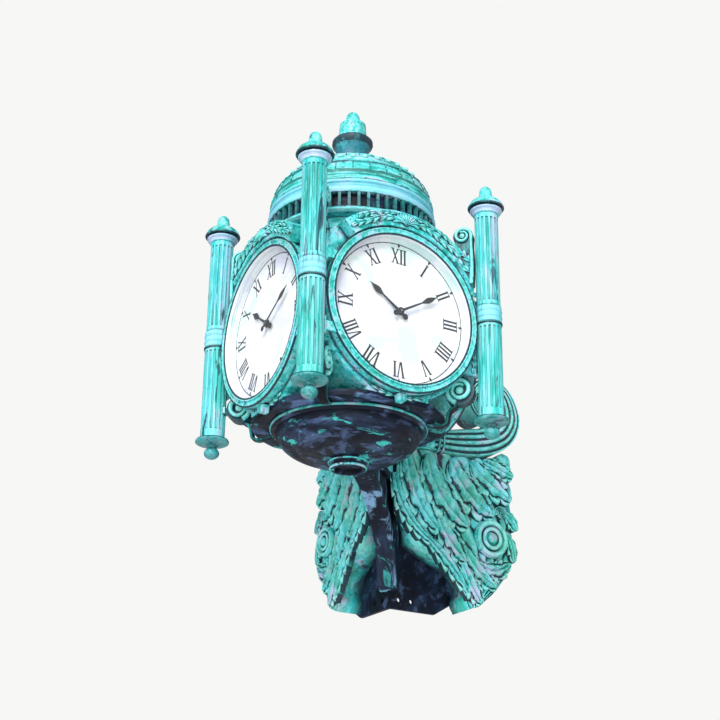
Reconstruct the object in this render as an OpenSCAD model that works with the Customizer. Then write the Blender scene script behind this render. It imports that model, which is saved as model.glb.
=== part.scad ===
// Four-dial street clock in cast bronze, hung on the outside corner of a building.
// Frame: Z is up. The origin lies on the building's corner edge, halfway between the upper and lower
// wall bolts. One wall is the plane Y = 0 for X > 0, the other is X = 0 for Y > 0.
// Every length is in millimetres.

/* [Clock body] */
// Radius of the white dial that shows inside the bezel
dial_r = 585; // [575:1:588]
// Distance of each column's axis from the clock's upright axis, along X and along Y
column_pos = 770; // [769:1:776]
// Radius of the lower column shaft
column_r = 95; // [88:1:96]
// Height of the column caps above the dial centres
cap_z = 1035; // [1000:5:1080]
// Depth of the columns' lower ends below the dial centres
foot_z = 700; // [700:1:700]
// Number of flutes round a column
flutes = 16; // [12:1:20]
// Angle that each bezel door opens
door_open = 95; // [60:5:95]

/* [Roof] */
// Radius of the ring of vent bars
vent_r = 664; // [655:1:668]
// Number of vent bars
vent_bars = 56; // [40:4:64]
// Height of the dome's shoulder above the dial centres
dome_z = 1400; // [1360:10:1440]
// Height of the finial's tip above the dial centres
finial_z = 2092; // [2070:2:2110]

/* [Bowl] */
// Radius of the bowl's rim
bowl_r = 590; // [580:1:600]
// Depth of the bowl below its rim
bowl_depth = 210; // [190:5:220]

/* [Wall bracket] */
// Distance of the clock's upright axis from each wall
stand_off = 1000; // [1000:5:1040]
// Height of the dial centres above the middle of the wall bolts
dial_z = 915; // [915:1:920]
// Thickness of the corner shoe
shoe_t = 30; // [25:1:32]
// Distance that the big scrolls stand out from the wall
scroll_depth = 332; // [310:1:334]
// Distance that the right wing reaches along its wall
right_reach = 1110; // [1000:10:1200]
// Distance that the left wing reaches along its wall, where a window is close to the corner
left_reach = 740; // [700:10:1200]
// Radius of each wall bolt hole
bolt_hole_r = 19; // [15:1:22]
// Height from the lower wall bolts to the upper ones
bolt_rise = 1530; // [1520:1:1540]
// Distance between the two wall bolts of a row
bolt_run = 120; // [110:1:130]

/* [Hands] */
// Length of a minute hand from the dial centre
minute_l = 383; // [360:1:400]
// Length of an hour hand from the dial centre
hour_l = 318; // [300:1:330]
// Minutes that the dials show
show_minute = 10; // [0:1:59]
// Hour that the dials show
show_hour = 10; // [1:1:12]

/* [Hidden] */
FACES = ["front", "right", "rear", "left"];
$fn = 72;

VERDIGRIS = [0.22, 0.72, 0.66];
SHADOW = [0.07, 0.16, 0.19];
OPAL = [0.95, 0.96, 0.97];
IRON = [0.30, 0.32, 0.34];
BRASS = [0.76, 0.62, 0.30];
STEEL = [0.70, 0.72, 0.74];

// Stations along a face's outward normal, from the clock's upright axis
panel_in = 670;
panel_out = 695;
dial_t = 8;
rim_out = 734;
hood_out = 800;
bezel_in = 735;
lip_in = 763.3;
bezel_out = 785;
glass_t = 6.5;
hinge_w = 782;
hour_w = 719;
minute_w = 737;

// Round sizes on a face
bezel_r = dial_r + 65;
rebate_r = dial_r + 17;
glass_r = rebate_r - 1;
panel_hole_r = dial_r - 5;
rim_in_r = dial_r + 15;
rim_out_r = dial_r + 60;
hood_in_r = bezel_r + 7;
vault_r = 772;
vault_t = 12;
hood_half_angle = 42;

// Door hinges: the front-facing doors hang at the corner away from the building, the others on their outer side
HINGE_SIDE = [-1, -1, 1, 1];
hinge_u = 664;
hinge_v = 285;
knuckle_l = 70;
barrel_r = 10;
pin_r = 5;

// Niches that cut back the body's four lower corners, round the dials
niche_top = 354;
niche_r = 679;
niche_half = 260;
niche_t = 14;

// Scroll consoles on the body's diagonals: each volute's centre, as distance from the axis and height
lower_volute = [862, -478];
lower_volute_r = 122;
upper_volute = [905, 815];
upper_volute_r = 84;

// Columns
column_upper_r = column_r - 3;
band_low = 60;
band_high = 190;
band_r = column_r + 8;
column_bore_r = 66;
foot_depth = 162;
cap_rise = 212;
pad_half = 40;
pad_gap = 0.3;

// Roof
drum_in_r = 604;
drum_t = 12;
drum_low = 600;
drum_base_z = 788;
bar_low = 852;
bar_high = 980;
drum_top_z = 1042;
dome_neck_r = 165;
dome_neck_z = dome_z + 162;

// Base
base_top = -660;
base_t = 40;
base_half = 684;
base_r = 735;
rim_z = base_top - base_t - 2;
pendant_r = 150;

// Works
arbor_r = 8;
pipe_r = 13;
idler_r = 5;
run = 0.06;
gear_distance = 60;
CANNON = [12, 2.5];
IDLER_WHEEL = [36, 2.5];
IDLER_PINION = [10, 2.4];
HOUR_WHEEL = [40, 2.4];
wheel_w = 641;
hour_wheel_w = 656;
wheel_t = 10;
rear_plate_w = 618;
front_plate_w = 674;
plate_t = 8;
bevel_teeth = 24;
bevel_module = 4;
bevel_taper = 0.75;
bevel_r = bevel_teeth * bevel_module / 2;
bevel_post_w = 122;
shaft_r = 12;

// ---------------------------------------------------------------- helpers

// Points on an arc about (x, y)
function arc(x, y, r, a0, a1, n) = [for (i = [0:n]) let (a = a0 + (a1 - a0) * i / n) [x + r * cos(a), y + r * sin(a)]];

// Points on an ellipse quarter or part, with half axes rx and ry
function oval(x, y, rx, ry, a0, a1, n) =
    [for (i = [0:n]) let (a = a0 + (a1 - a0) * i / n) [x + rx * cos(a), y + ry * sin(a)]];

// Points on a shrinking spiral from radius r0 to r1
function spiral(x, y, r0, r1, a0, a1, n) =
    [for (i = [0:n]) let (t = i / n, a = a0 + (a1 - a0) * t, r = r0 * pow(r1 / r0, t)) [x + r * cos(a), y + r * sin(a)]];

// Points on a quadratic curve from a to c, pulled towards b
function bend(a, b, c, n) = [for (i = [0:n]) let (t = i / n) (1 - t) * (1 - t) * a + 2 * t * (1 - t) * b + t * t * c];

function unit(v) = v / norm(v);

// Sideways direction of a line of points at point i
function side(p, i) =
    let (d = unit(p[min(i + 1, len(p) - 1)] - p[max(i - 1, 0)])) [-d[1], d[0]];

// Outline of a strip about a line of points, from half width h0 to h1
function ribbon(p, h0, h1) = let (n = len(p) - 1) concat(
    [for (i = [0:n]) p[i] + side(p, i) * (h0 + (h1 - h0) * i / n)],
    [for (i = [n:-1:0]) p[i] - side(p, i) * (h0 + (h1 - h0) * i / n)]
);

// A smooth closed outline through the points p, with n steps between neighbours
function smooth(p, n) = [
    for (i = [0:len(p) - 1]) for (j = [0:n - 1])
        let (
            m = len(p), t = j / n,
            a = p[(i + m - 1) % m], b = p[i], c = p[(i + 1) % m], d = p[(i + 2) % m]
        )
        0.5 * (2 * b + (c - a) * t + (2 * a - 5 * b + 4 * c - d) * t * t + (3 * b - a - 3 * c + d) * t * t * t)
];

// The clock's own frame: upright axis, with the dial centres at height 0
module clock() {
    translate([-stand_off, -stand_off, dial_z]) children();
}

// A face's frame from a flat shape: X to the right seen from outside, Y up, extruded outwards from w0 to w1
module on_face(k, w0, w1) {
    clock() rotate([0, 0, 90 * k]) translate([0, -w0, 0]) rotate([90, 0, 0]) linear_extrude(w1 - w0) children();
}

// A face's frame for solids: X to the right, Y up, Z outwards from the clock's axis
module face(k) {
    clock() rotate([0, 0, 90 * k]) rotate([90, 0, 0]) children();
}

// The mirror image of one wall's parts on the other wall
module other_wall() {
    mirror([1, -1, 0]) children();
}

module ring(r_out, r_in) {
    difference() {
        circle(r_out);
        circle(r_in);
    }
}

// ---------------------------------------------------------------- gears

// Outline of a straight-flanked gear. add and ded are the tooth's height and depth from the pitch circle.
function gear_outline(teeth, m, add, ded) =
    let (
        r = teeth * m / 2,
        half = 0.20 * PI * m,
        tip = half - 0.30 * m,
        root = half + 0.28 * m,
        a_tip = tip / (r + add) * 180 / PI,
        a_pitch = half / r * 180 / PI,
        a_root = root / (r - ded) * 180 / PI
    )
    [for (i = [0:teeth - 1]) let (c = 360 / teeth * i) each [
        [r - ded, c - a_root], [r, c - a_pitch], [r + add, c - a_tip],
        [r + add, c + a_tip], [r, c + a_pitch], [r - ded, c + a_root]
    ]];

function from_polar(p) = [for (q = p) [q[0] * cos(q[1]), q[0] * sin(q[1])]];

module gear_2d(spec) {
    polygon(from_polar(gear_outline(spec[0], spec[1], 0.85 * spec[1], 1.15 * spec[1])));
}

// A bevel gear with its apex at the origin, its wide end at height -apex, and its teeth facing up
module bevel_gear(teeth, r, apex, add, ded) {
    translate([0, 0, -apex]) linear_extrude(apex * (1 - bevel_taper), scale = bevel_taper)
        polygon(from_polar(gear_outline(teeth, 2 * r / teeth, add, ded)));
}

// ---------------------------------------------------------------- wall bracket

shoe_width = 620;
shoe_outline = [
    [-shoe_t, -845], [420, -845], [560, -760], [shoe_width, -600], [shoe_width, 380],
    [560, 500], [260, 560], [260, 800], [200, 855], [-shoe_t, 855]
];

module bolt_holes() {
    for (x = [70, 70 + bolt_run], z = [-bolt_rise / 2, bolt_rise / 2])
        translate([x, 1, z]) rotate([90, 0, 0]) cylinder(h = shoe_t + 2, r = bolt_hole_r);
}

module shoe_flange() {
    difference() {
        rotate([90, 0, 0]) linear_extrude(shoe_t) polygon(shoe_outline);
        bolt_holes();
    }
}

module corner_shoe() {
    color(SHADOW) union() {
        shoe_flange();
        other_wall() shoe_flange();
    }
}

// The diagonal arm's side view: X is the distance out from the corner, Y the height above the dial centres
arm_width = 158;
arm_web = 90;
arm_outline = concat(
    [[20, -470], [170, -470], [190, -520], [196, rim_z + 1], [1130, rim_z + 1], [1130, -870]],
    bend([1010, -912], [620, -940], [360, -1130], 8),
    bend([340, -1150], [150, -1310], [110, -1590], 7),
    [[20, -1620]]
);

// Narrower by inset on every edge, for the sunk panels on the arm's sides
arm_panel = concat(
    [[60, -760], [1060, -760], [1060, -830]],
    bend([960, -866], [600, -900], [330, -1090], 8),
    bend([300, -1120], [120, -1280], [76, -1500], 7)
);

module arm_slab(width, outline) {
    rotate([90, 0, 0]) translate([0, 0, -width / 2]) linear_extrude(width) polygon(outline);
}

module spine_arm() {
    sink = (arm_width - arm_web) / 2;
    color(SHADOW) difference() {
        translate([0, 0, dial_z]) rotate([0, 0, 225]) difference() {
            arm_slab(arm_width, arm_outline);
            for (s = [-1, 1]) translate([0, s * arm_width / 2, 0]) arm_slab(2 * sink, arm_panel);
        }
        translate([-shoe_t - 0.3, -shoe_t - 0.3, -1000]) cube([1000, 1000, 2000]);
    }
}

// Centre line of the big scroll, as [distance along the wall, height above the dial centres, half width].
// It leaves the corner under the volute, sweeps round outside it and winds into it.
scroll_line = [
    [60, -331, 94], [180, -332, 96], [300, -331, 99], [440, -318, 112], [580, -297, 124], [720, -270, 126],
    [850, -226, 125], [960, -160, 122], [1025, -75, 118], [1049, 20, 114], [1030, 120, 104],
    [985, 205, 92], [910, 262, 78], [820, 278, 66], [735, 252, 56], [675, 192, 49], [653, 115, 44],
    [672, 35, 40], [728, -20, 36], [800, -28, 32], [858, 10, 28], [878, 75, 24], [850, 138, 20]
];
volute = [780, 70];

// One point of a smooth curve through four neighbours
function catmull(a, b, c, d, t) =
    0.5 * (2 * b + (c - a) * t + (2 * a - 5 * b + 4 * c - d) * t * t + (3 * b - a - 3 * c + d) * t * t * t);

// A smooth open curve through the points p
function curve(p, n) = let (m = len(p) - 1) concat(
    [for (i = [0:m - 1]) for (j = [0:n - 1]) catmull(p[max(i - 1, 0)], p[i], p[i + 1], p[min(i + 2, m)], j / n)],
    [p[m]]
);

// A wing's points are drawn for the longest reach and drawn in towards the corner for a shorter one
full_reach = 1110;
function drawn_in(p, reach) = [for (q = p) [q[0] > 0 ? q[0] * reach / full_reach : q[0], q[1]]];

function scroll_outline(reach) = let (
    c = curve(scroll_line, 3),
    line = drawn_in(c, reach),
    n = len(c) - 1,
    k = 0.35 + 0.65 * reach / full_reach
) concat(
    [for (i = [0:n]) line[i] + side(line, i) * c[i][2] * k],
    [for (i = [n:-1:0]) line[i] - side(line, i) * c[i][2] * k]
);

// Wall thickness of the hollow castings, which are open towards the wall
cast_t = 14;

module big_scroll(reach) {
    eye_at = drawn_in([volute], reach)[0];
    depth = scroll_depth - shoe_t - 1;
    color(VERDIGRIS) translate([0, -shoe_t - 1, dial_z]) rotate([90, 0, 0]) union() {
        difference() {
            linear_extrude(depth) polygon(scroll_outline(reach));
            translate([0, 0, -1]) linear_extrude(depth - cast_t + 1) offset(delta = -cast_t)
                polygon(scroll_outline(reach));
        }
        translate([eye_at[0], eye_at[1], 0]) cylinder(h = depth + 9, r = 78 * reach / full_reach);
    }
}

// The leaf body below the scroll, with a rosette. Its inner edge follows the diagonal arm, then flares outwards.
wing_depth = 270;
rosette = [820, -1118];
wing_outline = [
    [-200, -640], [-200, -470], [0, -440], [290, -444], [560, -436], [740, -412], [900, -368], [1010, -300],
    [1085, -330], [1096, -430], [1072, -540], [1100, -640], [1076, -760], [1100, -880], [1084, -990],
    [1100, -1110], [1060, -1220], [1040, -1350], [960, -1470], [860, -1580], [720, -1690], [600, -1740],
    [560, -1660], [590, -1560], [540, -1450], [440, -1388], [285, -1325], [150, -1262], [40, -1185],
    [-40, -1110], [-110, -1010], [-160, -900], [-200, -800]
];

// The space that a wing leaves for the diagonal arm and for the rear column, with a margin round it
module wing_gap(margin) {
    half = arm_width / 2 + 1 + margin;
    rotate([0, 0, 225]) translate([0, -1000, -1000]) cube([1000, 1000 + half, 2000]);
    translate([column_pos - stand_off, column_pos - stand_off, dial_z - foot_z - 2 - margin])
        cylinder(h = 600, r = band_r + 22 + margin);
}

module wing_slab(reach, inset, depth) {
    translate([0, -shoe_t - 1, dial_z]) rotate([90, 0, 0]) linear_extrude(depth) offset(delta = -inset)
        polygon(smooth(drawn_in(wing_outline, reach), 3));
}

module wing(reach) {
    size = 0.4 + 0.6 * reach / full_reach;
    at = drawn_in([rosette], reach)[0];
    color(VERDIGRIS) union() {
        difference() {
            wing_slab(reach, 0, wing_depth);
            wing_gap(0);
            difference() {
                translate([0, 1, 0]) wing_slab(reach, cast_t, wing_depth - cast_t + 1);
                wing_gap(cast_t);
            }
        }
        translate([at[0], -shoe_t - wing_depth, dial_z + at[1]]) rotate([90, 0, 0])
            cylinder(h = 50, r1 = 168 * size, r2 = 120 * size);
    }
}

// ---------------------------------------------------------------- base and bowl

module column_positions() {
    for (k = [0:3]) rotate([0, 0, 90 * k]) translate([-column_pos, -column_pos, 0]) children();
}

module base_frame() {
    color(SHADOW) clock() difference() {
        intersection() {
            translate([-base_half, -base_half, base_top - base_t]) cube([2 * base_half, 2 * base_half, base_t]);
            translate([0, 0, base_top - base_t]) cylinder(h = base_t, r = base_r);
        }
        for (x = [-1, 1], y = [-1, 1])
            translate([x * 230 - 80, y * 230 - 80, base_top - base_t - 1]) cube([160, 160, base_t + 2]);
    }
}

module bowl_shell(cut) {
    rotate_extrude() polygon(concat(
        [[bowl_r, rim_z], [bowl_r, rim_z - 24], [bowl_r - 26, rim_z - 42]],
        oval(pendant_r, rim_z - 42, bowl_r - 40 - pendant_r, bowl_depth, 0, -90, 20),
        [[pendant_r - 40, rim_z - 42 - bowl_depth], [pendant_r - 40, rim_z - 30 - bowl_depth]],
        oval(pendant_r, rim_z - 42, bowl_r - 52 - pendant_r, bowl_depth - 12, -90, 0, 20),
        [[bowl_r - 40, rim_z]]
    ));
}

module bowl() {
    color(SHADOW) clock() difference() {
        bowl_shell();
        rotate([0, 0, 45]) translate([270, -arm_width / 2 - 2, rim_z - bowl_depth - 60])
            cube([400, arm_width + 4, bowl_depth + 80]);
    }
}

module bowl_pendant() {
    top = rim_z - 43 - bowl_depth;
    color(SHADOW) clock() rotate_extrude() polygon([
        [0, top], [pendant_r, top], [pendant_r, top - 18], [pendant_r - 12, top - 30], [pendant_r - 12, top - 62],
        [pendant_r - 20, top - 70], [pendant_r - 44, top - 70], [pendant_r - 48, top - 40], [0, top - 34]
    ]);
}

// ---------------------------------------------------------------- columns

module column_profile() {
    polygon([
        [column_bore_r, -foot_z], [column_r, -foot_z], [column_r, band_low - 14], [band_r, band_low - 14],
        [band_r, band_low], [band_r - 4, band_low + 6], [band_r - 4, band_low + 34], [band_r, band_low + 40],
        [band_r - 4, band_low + 46], [band_r - 4, band_low + 84], [band_r, band_low + 90],
        [band_r - 4, band_low + 96], [band_r - 4, band_high], [column_upper_r, band_high + 8],
        [column_upper_r, cap_z - 50], [column_bore_r, cap_z - 50]
    ]);
}

flute_r = 11;
module flute_set(r, low, high) {
    for (i = [0:flutes - 1]) rotate([0, 0, 360 / flutes * (i + 0.5)])
        translate([r + 4, 0, low]) cylinder(h = high - low, r = flute_r);
}

// Pads that tie a column to the corner of the body, and to the lower console's volute
module column_pads() {
    difference() {
        rotate([0, 0, 45]) translate([column_bore_r + 4, -pad_half, 85]) cube([55, 2 * pad_half, 80]);
        translate([column_pos - panel_out - pad_gap, column_pos - panel_out - pad_gap, -700]) cube([400, 400, 1000]);
    }
    reach = column_pos * sqrt(2) - lower_volute[0] - lower_volute_r - column_bore_r - 4 - pad_gap;
    rotate([0, 0, 45]) translate([column_bore_r + 4, -pad_half, lower_volute[1] - 25]) cube([reach, 2 * pad_half, 50]);
}

module column(k) {
    color(VERDIGRIS) clock() rotate([0, 0, 90 * k]) translate([-column_pos, -column_pos, 0]) union() {
        difference() {
            rotate_extrude() column_profile();
            flute_set(column_r, -foot_z + 60, band_low - 40);
            flute_set(column_upper_r, band_high + 40, cap_z - 90);
        }
        column_pads();
    }
}

module column_caps() {
    color(VERDIGRIS) clock() column_positions() rotate_extrude() polygon(concat(
        [[0, cap_z - 49], [100, cap_z - 49]],
        bend([104, cap_z - 44], [106, cap_z - 24], [124, cap_z - 16], 4),
        [[126, cap_z - 4], [112, cap_z + 2], [112, cap_z + 8], [140, cap_z + 10], [144, cap_z + 18]],
        bend([142, cap_z + 26], [122, cap_z + 84], [62, cap_z + 100], 8),
        [[54, cap_z + 106], [50, cap_z + 150]],
        oval(0, cap_z + 164, 48, cap_rise - 164, 0, 90, 7)
    ));
}

// The rear right column stands on the bracket's arm; the other three end in a knob
module column_feet() {
    low = -foot_z - 1;
    color(VERDIGRIS) clock() for (k = [0, 1, 3]) rotate([0, 0, 90 * k]) translate([-column_pos, -column_pos, 0])
        rotate_extrude() polygon(concat(
            [[0, low], [108, low], [124, low - 6]],
            oval(108, low - 22, 24, 16, 75, -75, 8),
            [[60, low - 46], [40, low - 54], [36, low - 66]],
            oval(0, low - foot_depth + 48, 60, 47, 50, -90, 10)
        ));
}

// ---------------------------------------------------------------- roof

module barrels(r) {
    for (k = [0, 1]) rotate([0, 0, 90 * k]) rotate([90, 0, 0]) translate([0, 0, -900])
        cylinder(h = 1800, r = r, $fn = 240);
}

module roof_vault() {
    spring_z = 348;
    half = panel_out - 1.1;
    color(VERDIGRIS) clock() difference() {
        intersection() {
            barrels(vault_r + vault_t);
            translate([-half, -half, spring_z]) cube([2 * half, 2 * half, 600]);
        }
        barrels(vault_r);
    }
}

module vent_drum() {
    color(VERDIGRIS) clock() difference() {
        union() {
            rotate_extrude() polygon([
                [drum_in_r, drum_low], [drum_in_r + drum_t, drum_low], [drum_in_r + drum_t, drum_base_z],
                [vent_r + 22, drum_base_z + 4], [vent_r + 28, drum_base_z + 20], [vent_r + 24, drum_base_z + 44],
                [vent_r + 8, drum_base_z + 56], [vent_r + 4, bar_low], [drum_in_r + drum_t, bar_low],
                [drum_in_r + drum_t, bar_high], [vent_r + 2, bar_high], [vent_r + 10, bar_high + 18],
                [vent_r + 10, bar_high + 38], [vent_r - 4, drum_top_z - 8], [vent_r - 14, drum_top_z],
                [drum_in_r, drum_top_z]
            ]);
            for (i = [0:vent_bars - 1]) rotate([0, 0, 360 / vent_bars * i])
                translate([vent_r - 26, -11, bar_low - 1]) cube([24, 22, bar_high - bar_low + 2]);
        }
        barrels(vault_r + vault_t + 1);
    }
}

dome_low = drum_top_z + 1;
dome_side = [
    [640, dome_low + 6], [650, dome_low + 34], [650, dome_low + 90], [640, dome_low + 158],
    [604, dome_z - 122], [540, dome_z - 38], [440, dome_z + 36], [310, dome_z + 98],
    [dome_neck_r + 8, dome_neck_z - 18]
];
dome_t = 14;
function backwards(p) = [for (i = [len(p) - 1:-1:0]) p[i]];

module dome() {
    outside = curve(dome_side, 4);
    inside = [for (i = [0:len(outside) - 1]) outside[i] + side(outside, i) * dome_t];
    color(VERDIGRIS) clock() rotate_extrude() polygon(concat(
        [[612, dome_low], [634, dome_low]],
        outside,
        [[dome_neck_r, dome_neck_z - 8], [dome_neck_r, dome_neck_z], [40, dome_neck_z], [40, dome_neck_z - 16]],
        backwards([for (q = inside) if (q[1] > dome_low + 20) q]),
        [[612, dome_low + 20]]
    ));
}

module finial() {
    low = dome_neck_z + 1;
    color(VERDIGRIS) clock() rotate_extrude() polygon(concat(
        [[0, low], [dome_neck_r, low], [dome_neck_r + 1, low + 52], [dome_neck_r - 9, low + 62]],
        bend([118, low + 76], [112, low + 104], [142, low + 168], 6),
        [[162, low + 196], [168, low + 212], [166, low + 236], [154, low + 250]],
        bend([128, low + 262], [112, low + 300], [110, low + 372], 6),
        bend([106, low + 404], [84, low + 424], [58, low + 436], 4),
        oval(0, finial_z - 74, 58, 74, 15, 90, 8)
    ));
}

// ---------------------------------------------------------------- faces

// A niche as seen from in front of a face, made larger by grow
module niche_2d(grow) {
    for (m = [0, 1]) mirror([m, 0]) difference() {
        translate([niche_half - grow, -900]) square([700, 900 - niche_top + grow]);
        circle(niche_r - grow);
    }
}

module niches(grow) {
    intersection() {
        for_depth() niche_2d(grow);
        rotate([0, 0, 90]) for_depth() niche_2d(grow);
    }
}

module for_depth() {
    translate([0, 1000, 0]) rotate([90, 0, 0]) linear_extrude(2000) children();
}

// Curved walls and ceilings of the niches, behind the panels
module corner_niches() {
    wall_half = panel_in - 0.3;
    color(VERDIGRIS) clock() difference() {
        intersection() {
            niches(niche_t);
            translate([-wall_half, -wall_half, base_top + 0.5]) cube([2 * wall_half, 2 * wall_half, 400]);
        }
        niches(0);
    }
}

module panel_outline() {
    difference() {
        intersection() {
            union() {
                circle(vault_r - 2);
                translate([-panel_out, -900]) square([2 * panel_out, 900 + 300]);
            }
            translate([-panel_out, base_top + 1]) square([2 * panel_out, 1600]);
        }
        niche_2d(0);
    }
}

module hood_2d() {
    intersection() {
        ring(vault_r + vault_t - 1, hood_in_r);
        polygon([[0, 0], [1600 * sin(hood_half_angle), 1600 * cos(hood_half_angle)],
            [-1600 * sin(hood_half_angle), 1600 * cos(hood_half_angle)]]);
    }
}

module hinge_bracket(s) {
    for (v = [-hinge_v, hinge_v], d = [-1, 1]) translate([s * hinge_u, v + d * (knuckle_l / 2 + 16), 0]) {
        difference() {
            union() {
                translate([-11, -15, panel_out - 1]) cube([19, 30, hinge_w - panel_out + 1]);
                translate([0, 15, hinge_w]) rotate([90, 0, 0]) cylinder(h = 30, r = barrel_r);
            }
            translate([0, 16, hinge_w]) rotate([90, 0, 0]) cylinder(h = 32, r = pin_r + 0.02);
        }
    }
}

module face_panel(k) {
    keystone = [[-34, -bezel_r - 8], [34, -bezel_r - 8], [24, -bezel_r - 64], [-24, -bezel_r - 64]];
    color(VERDIGRIS) union() {
        intersection() {
            on_face(k, panel_in, panel_out) difference() {
                panel_outline();
                circle(panel_hole_r);
            }
            clock() rotate([0, 0, 90 * k]) translate([0, 0, -900]) linear_extrude(1800) polygon([
                [0.6 - panel_in, -panel_in], [panel_in - 0.6, -panel_in],
                [panel_out - 0.6, -panel_out], [0.6 - panel_out, -panel_out]
            ]);
        }
        on_face(k, panel_out - 1, rim_out) ring(rim_out_r, rim_in_r);
        on_face(k, panel_out - 1, hood_out) hood_2d();
        on_face(k, panel_out - 1, panel_out + 60) polygon(keystone);
        face(k) hinge_bracket(HINGE_SIDE[k]);
    }
}

// ---------------------------------------------------------------- scroll consoles

// A plate in the upright plane through corner k, drawn as distance from the axis and height
module corner_plate(k, half) {
    clock() rotate([0, 0, 90 * k + 225]) translate([0, half, 0]) rotate([90, 0, 0]) linear_extrude(2 * half) children();
}

module disc_at(centre, r) {
    translate(centre) circle(r);
}

// Rolled scrolls that stand on the roof's corners, beside the column caps
module upper_scrolls() {
    stem = bend([962, 380], [975, 560], [972, 760], 6);
    roll = spiral(upper_volute[0], upper_volute[1], upper_volute_r - 14, 30, 0, 480, 34);
    web = concat(
        [[972, 350], [972, 800], [840, 800]],
        bend([838, 770], [850, 690], [790, 640], 5),
        bend([770, 620], [720, 600], [700, 560], 4),
        [[700, 350]]
    );
    color(VERDIGRIS) difference() {
        for (k = [0:3]) union() {
            corner_plate(k, 60) union() {
                polygon(ribbon(roll, 14, 8));
                polygon(ribbon(stem, 14, 14));
            }
            corner_plate(k, 34) union() {
                polygon(web);
                disc_at(upper_volute, upper_volute_r - 6);
            }
            corner_plate(k, 68) disc_at(upper_volute, 28);
        }
        clock() barrels(vault_r + vault_t + 0.5);
    }
}

// Rolled scrolls in the niches. All but the one over the bracket have a strap that runs to the bowl's rim
module lower_scrolls() {
    roll = spiral(lower_volute[0], lower_volute[1], lower_volute_r - 18, 38, -110, -590, 34);
    strap = concat(
        bend([826, -586], [768, -630], [762, -690], 5),
        bend([758, -722], [740, -742], [700, -740], 4),
        [[650, -732], [bowl_r + 6, -718]]
    );
    color(VERDIGRIS) intersection() {
        for (k = [0:3]) union() {
            corner_plate(k, 80) polygon(ribbon(roll, 18, 9));
            corner_plate(k, 52) disc_at(lower_volute, lower_volute_r - 6);
            corner_plate(k, 88) disc_at(lower_volute, 36);
            if (k != 2) corner_plate(k, 40) polygon(ribbon(strap, 15, 10));
        }
        clock() niches(-0.5);
    }
}

// ---------------------------------------------------------------- dials, doors and hands

module dials() {
    color(OPAL) for (k = [0:3]) on_face(k, panel_out + 0.3, panel_out + 0.3 + dial_t) ring(rim_in_r - 2, pipe_r + 4);
}

module bezel(k) {
    s = HINGE_SIDE[k];
    reach = sqrt(bezel_r * bezel_r - (hinge_v + knuckle_l / 2) * (hinge_v + knuckle_l / 2)) - 8;
    color(VERDIGRIS) union() {
        face(k) rotate_extrude() polygon([
            [rebate_r, bezel_in], [bezel_r - 4, bezel_in], [bezel_r, bezel_in + 6], [bezel_r, bezel_out - 14],
            [bezel_r - 8, bezel_out - 4], [bezel_r - 22, bezel_out], [dial_r + 12, bezel_out - 2],
            [dial_r + 2, bezel_out - 9], [dial_r, lip_in], [rebate_r, lip_in]
        ]);
        face(k) for (v = [-hinge_v, hinge_v]) difference() {
            union() {
                translate([s > 0 ? reach : -hinge_u, v - knuckle_l / 2, bezel_out - 13])
                    cube([hinge_u - reach, knuckle_l, 12]);
                translate([s * hinge_u, v + knuckle_l / 2, hinge_w]) rotate([90, 0, 0])
                    cylinder(h = knuckle_l, r = barrel_r);
            }
            translate([s * hinge_u, v + knuckle_l / 2 + 1, hinge_w]) rotate([90, 0, 0])
                cylinder(h = knuckle_l + 2, r = pin_r + run);
        }
    }
}

module glass(k) {
    color([0.8, 0.9, 0.95, 0.3]) face(k) translate([0, 0, lip_in - glass_t - 0.2]) cylinder(h = glass_t, r = glass_r);
}

module hinge_pins() {
    color(BRASS) for (k = [0:3], v = [-hinge_v, hinge_v]) face(k)
        translate([HINGE_SIDE[k] * hinge_u, v + knuckle_l / 2 + 36, hinge_w]) rotate([90, 0, 0])
            cylinder(h = knuckle_l + 72, r = pin_r);
}

// A hand along +Y: a thin blade, a leaf near its tip, a hub and a short round tail
module hand_2d(length, leaf, root, hub) {
    union() {
        polygon([
            [-root, 0], [-root * 0.55, length - 2.9 * leaf * 2], [-leaf, length - 2.6 * leaf], [-leaf * 0.8, length - 1.9 * leaf],
            [0, length], [leaf * 0.8, length - 1.9 * leaf], [leaf, length - 2.6 * leaf],
            [root * 0.55, length - 2.9 * leaf * 2], [root, 0]
        ]);
        circle(hub);
        translate([-root * 0.8, -hub - 26]) square([root * 1.6, hub + 26]);
        translate([0, -hub - 30]) circle(hub * 0.72);
    }
}

module minute_hand(k) {
    color([0.03, 0.03, 0.04]) union() {
        on_face(k, minute_w, minute_w + 5) difference() {
            rotate(-6 * show_minute) hand_2d(minute_l, 17, 9, 21);
            circle(arbor_r + 0.02);
        }
        on_face(k, minute_w + 5, minute_w + 13) ring(15, arbor_r + 0.02);
    }
}

module hour_hand(k) {
    color([0.03, 0.03, 0.04]) union() {
        on_face(k, hour_w, hour_w + 5) difference() {
            rotate(-30 * show_hour - show_minute / 2) hand_2d(hour_l, 22, 15, 26);
            circle(pipe_r + 0.02);
        }
        on_face(k, hour_w + 5, hour_w + 9) ring(19, pipe_r + 0.02);
    }
}

// ---------------------------------------------------------------- works

// Rod from the centre bevel to the minute hand, with the cannon pinion behind the dial
module minute_arbor(k) {
    apex = 2 * bevel_r;
    color(STEEL) union() {
        face(k) translate([0, 0, apex * bevel_taper]) cylinder(h = minute_w + 12 - apex * bevel_taper, r = arbor_r);
        face(k) rotate([180, 0, 0]) rotate([0, 0, 7.5]) bevel_gear(bevel_teeth, bevel_r, apex, 4.2, 5.6);
        face(k) translate([0, 0, apex]) cylinder(h = 12, r = 22);
        on_face(k, wheel_w, wheel_w + wheel_t) gear_2d(CANNON);
    }
}

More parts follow.
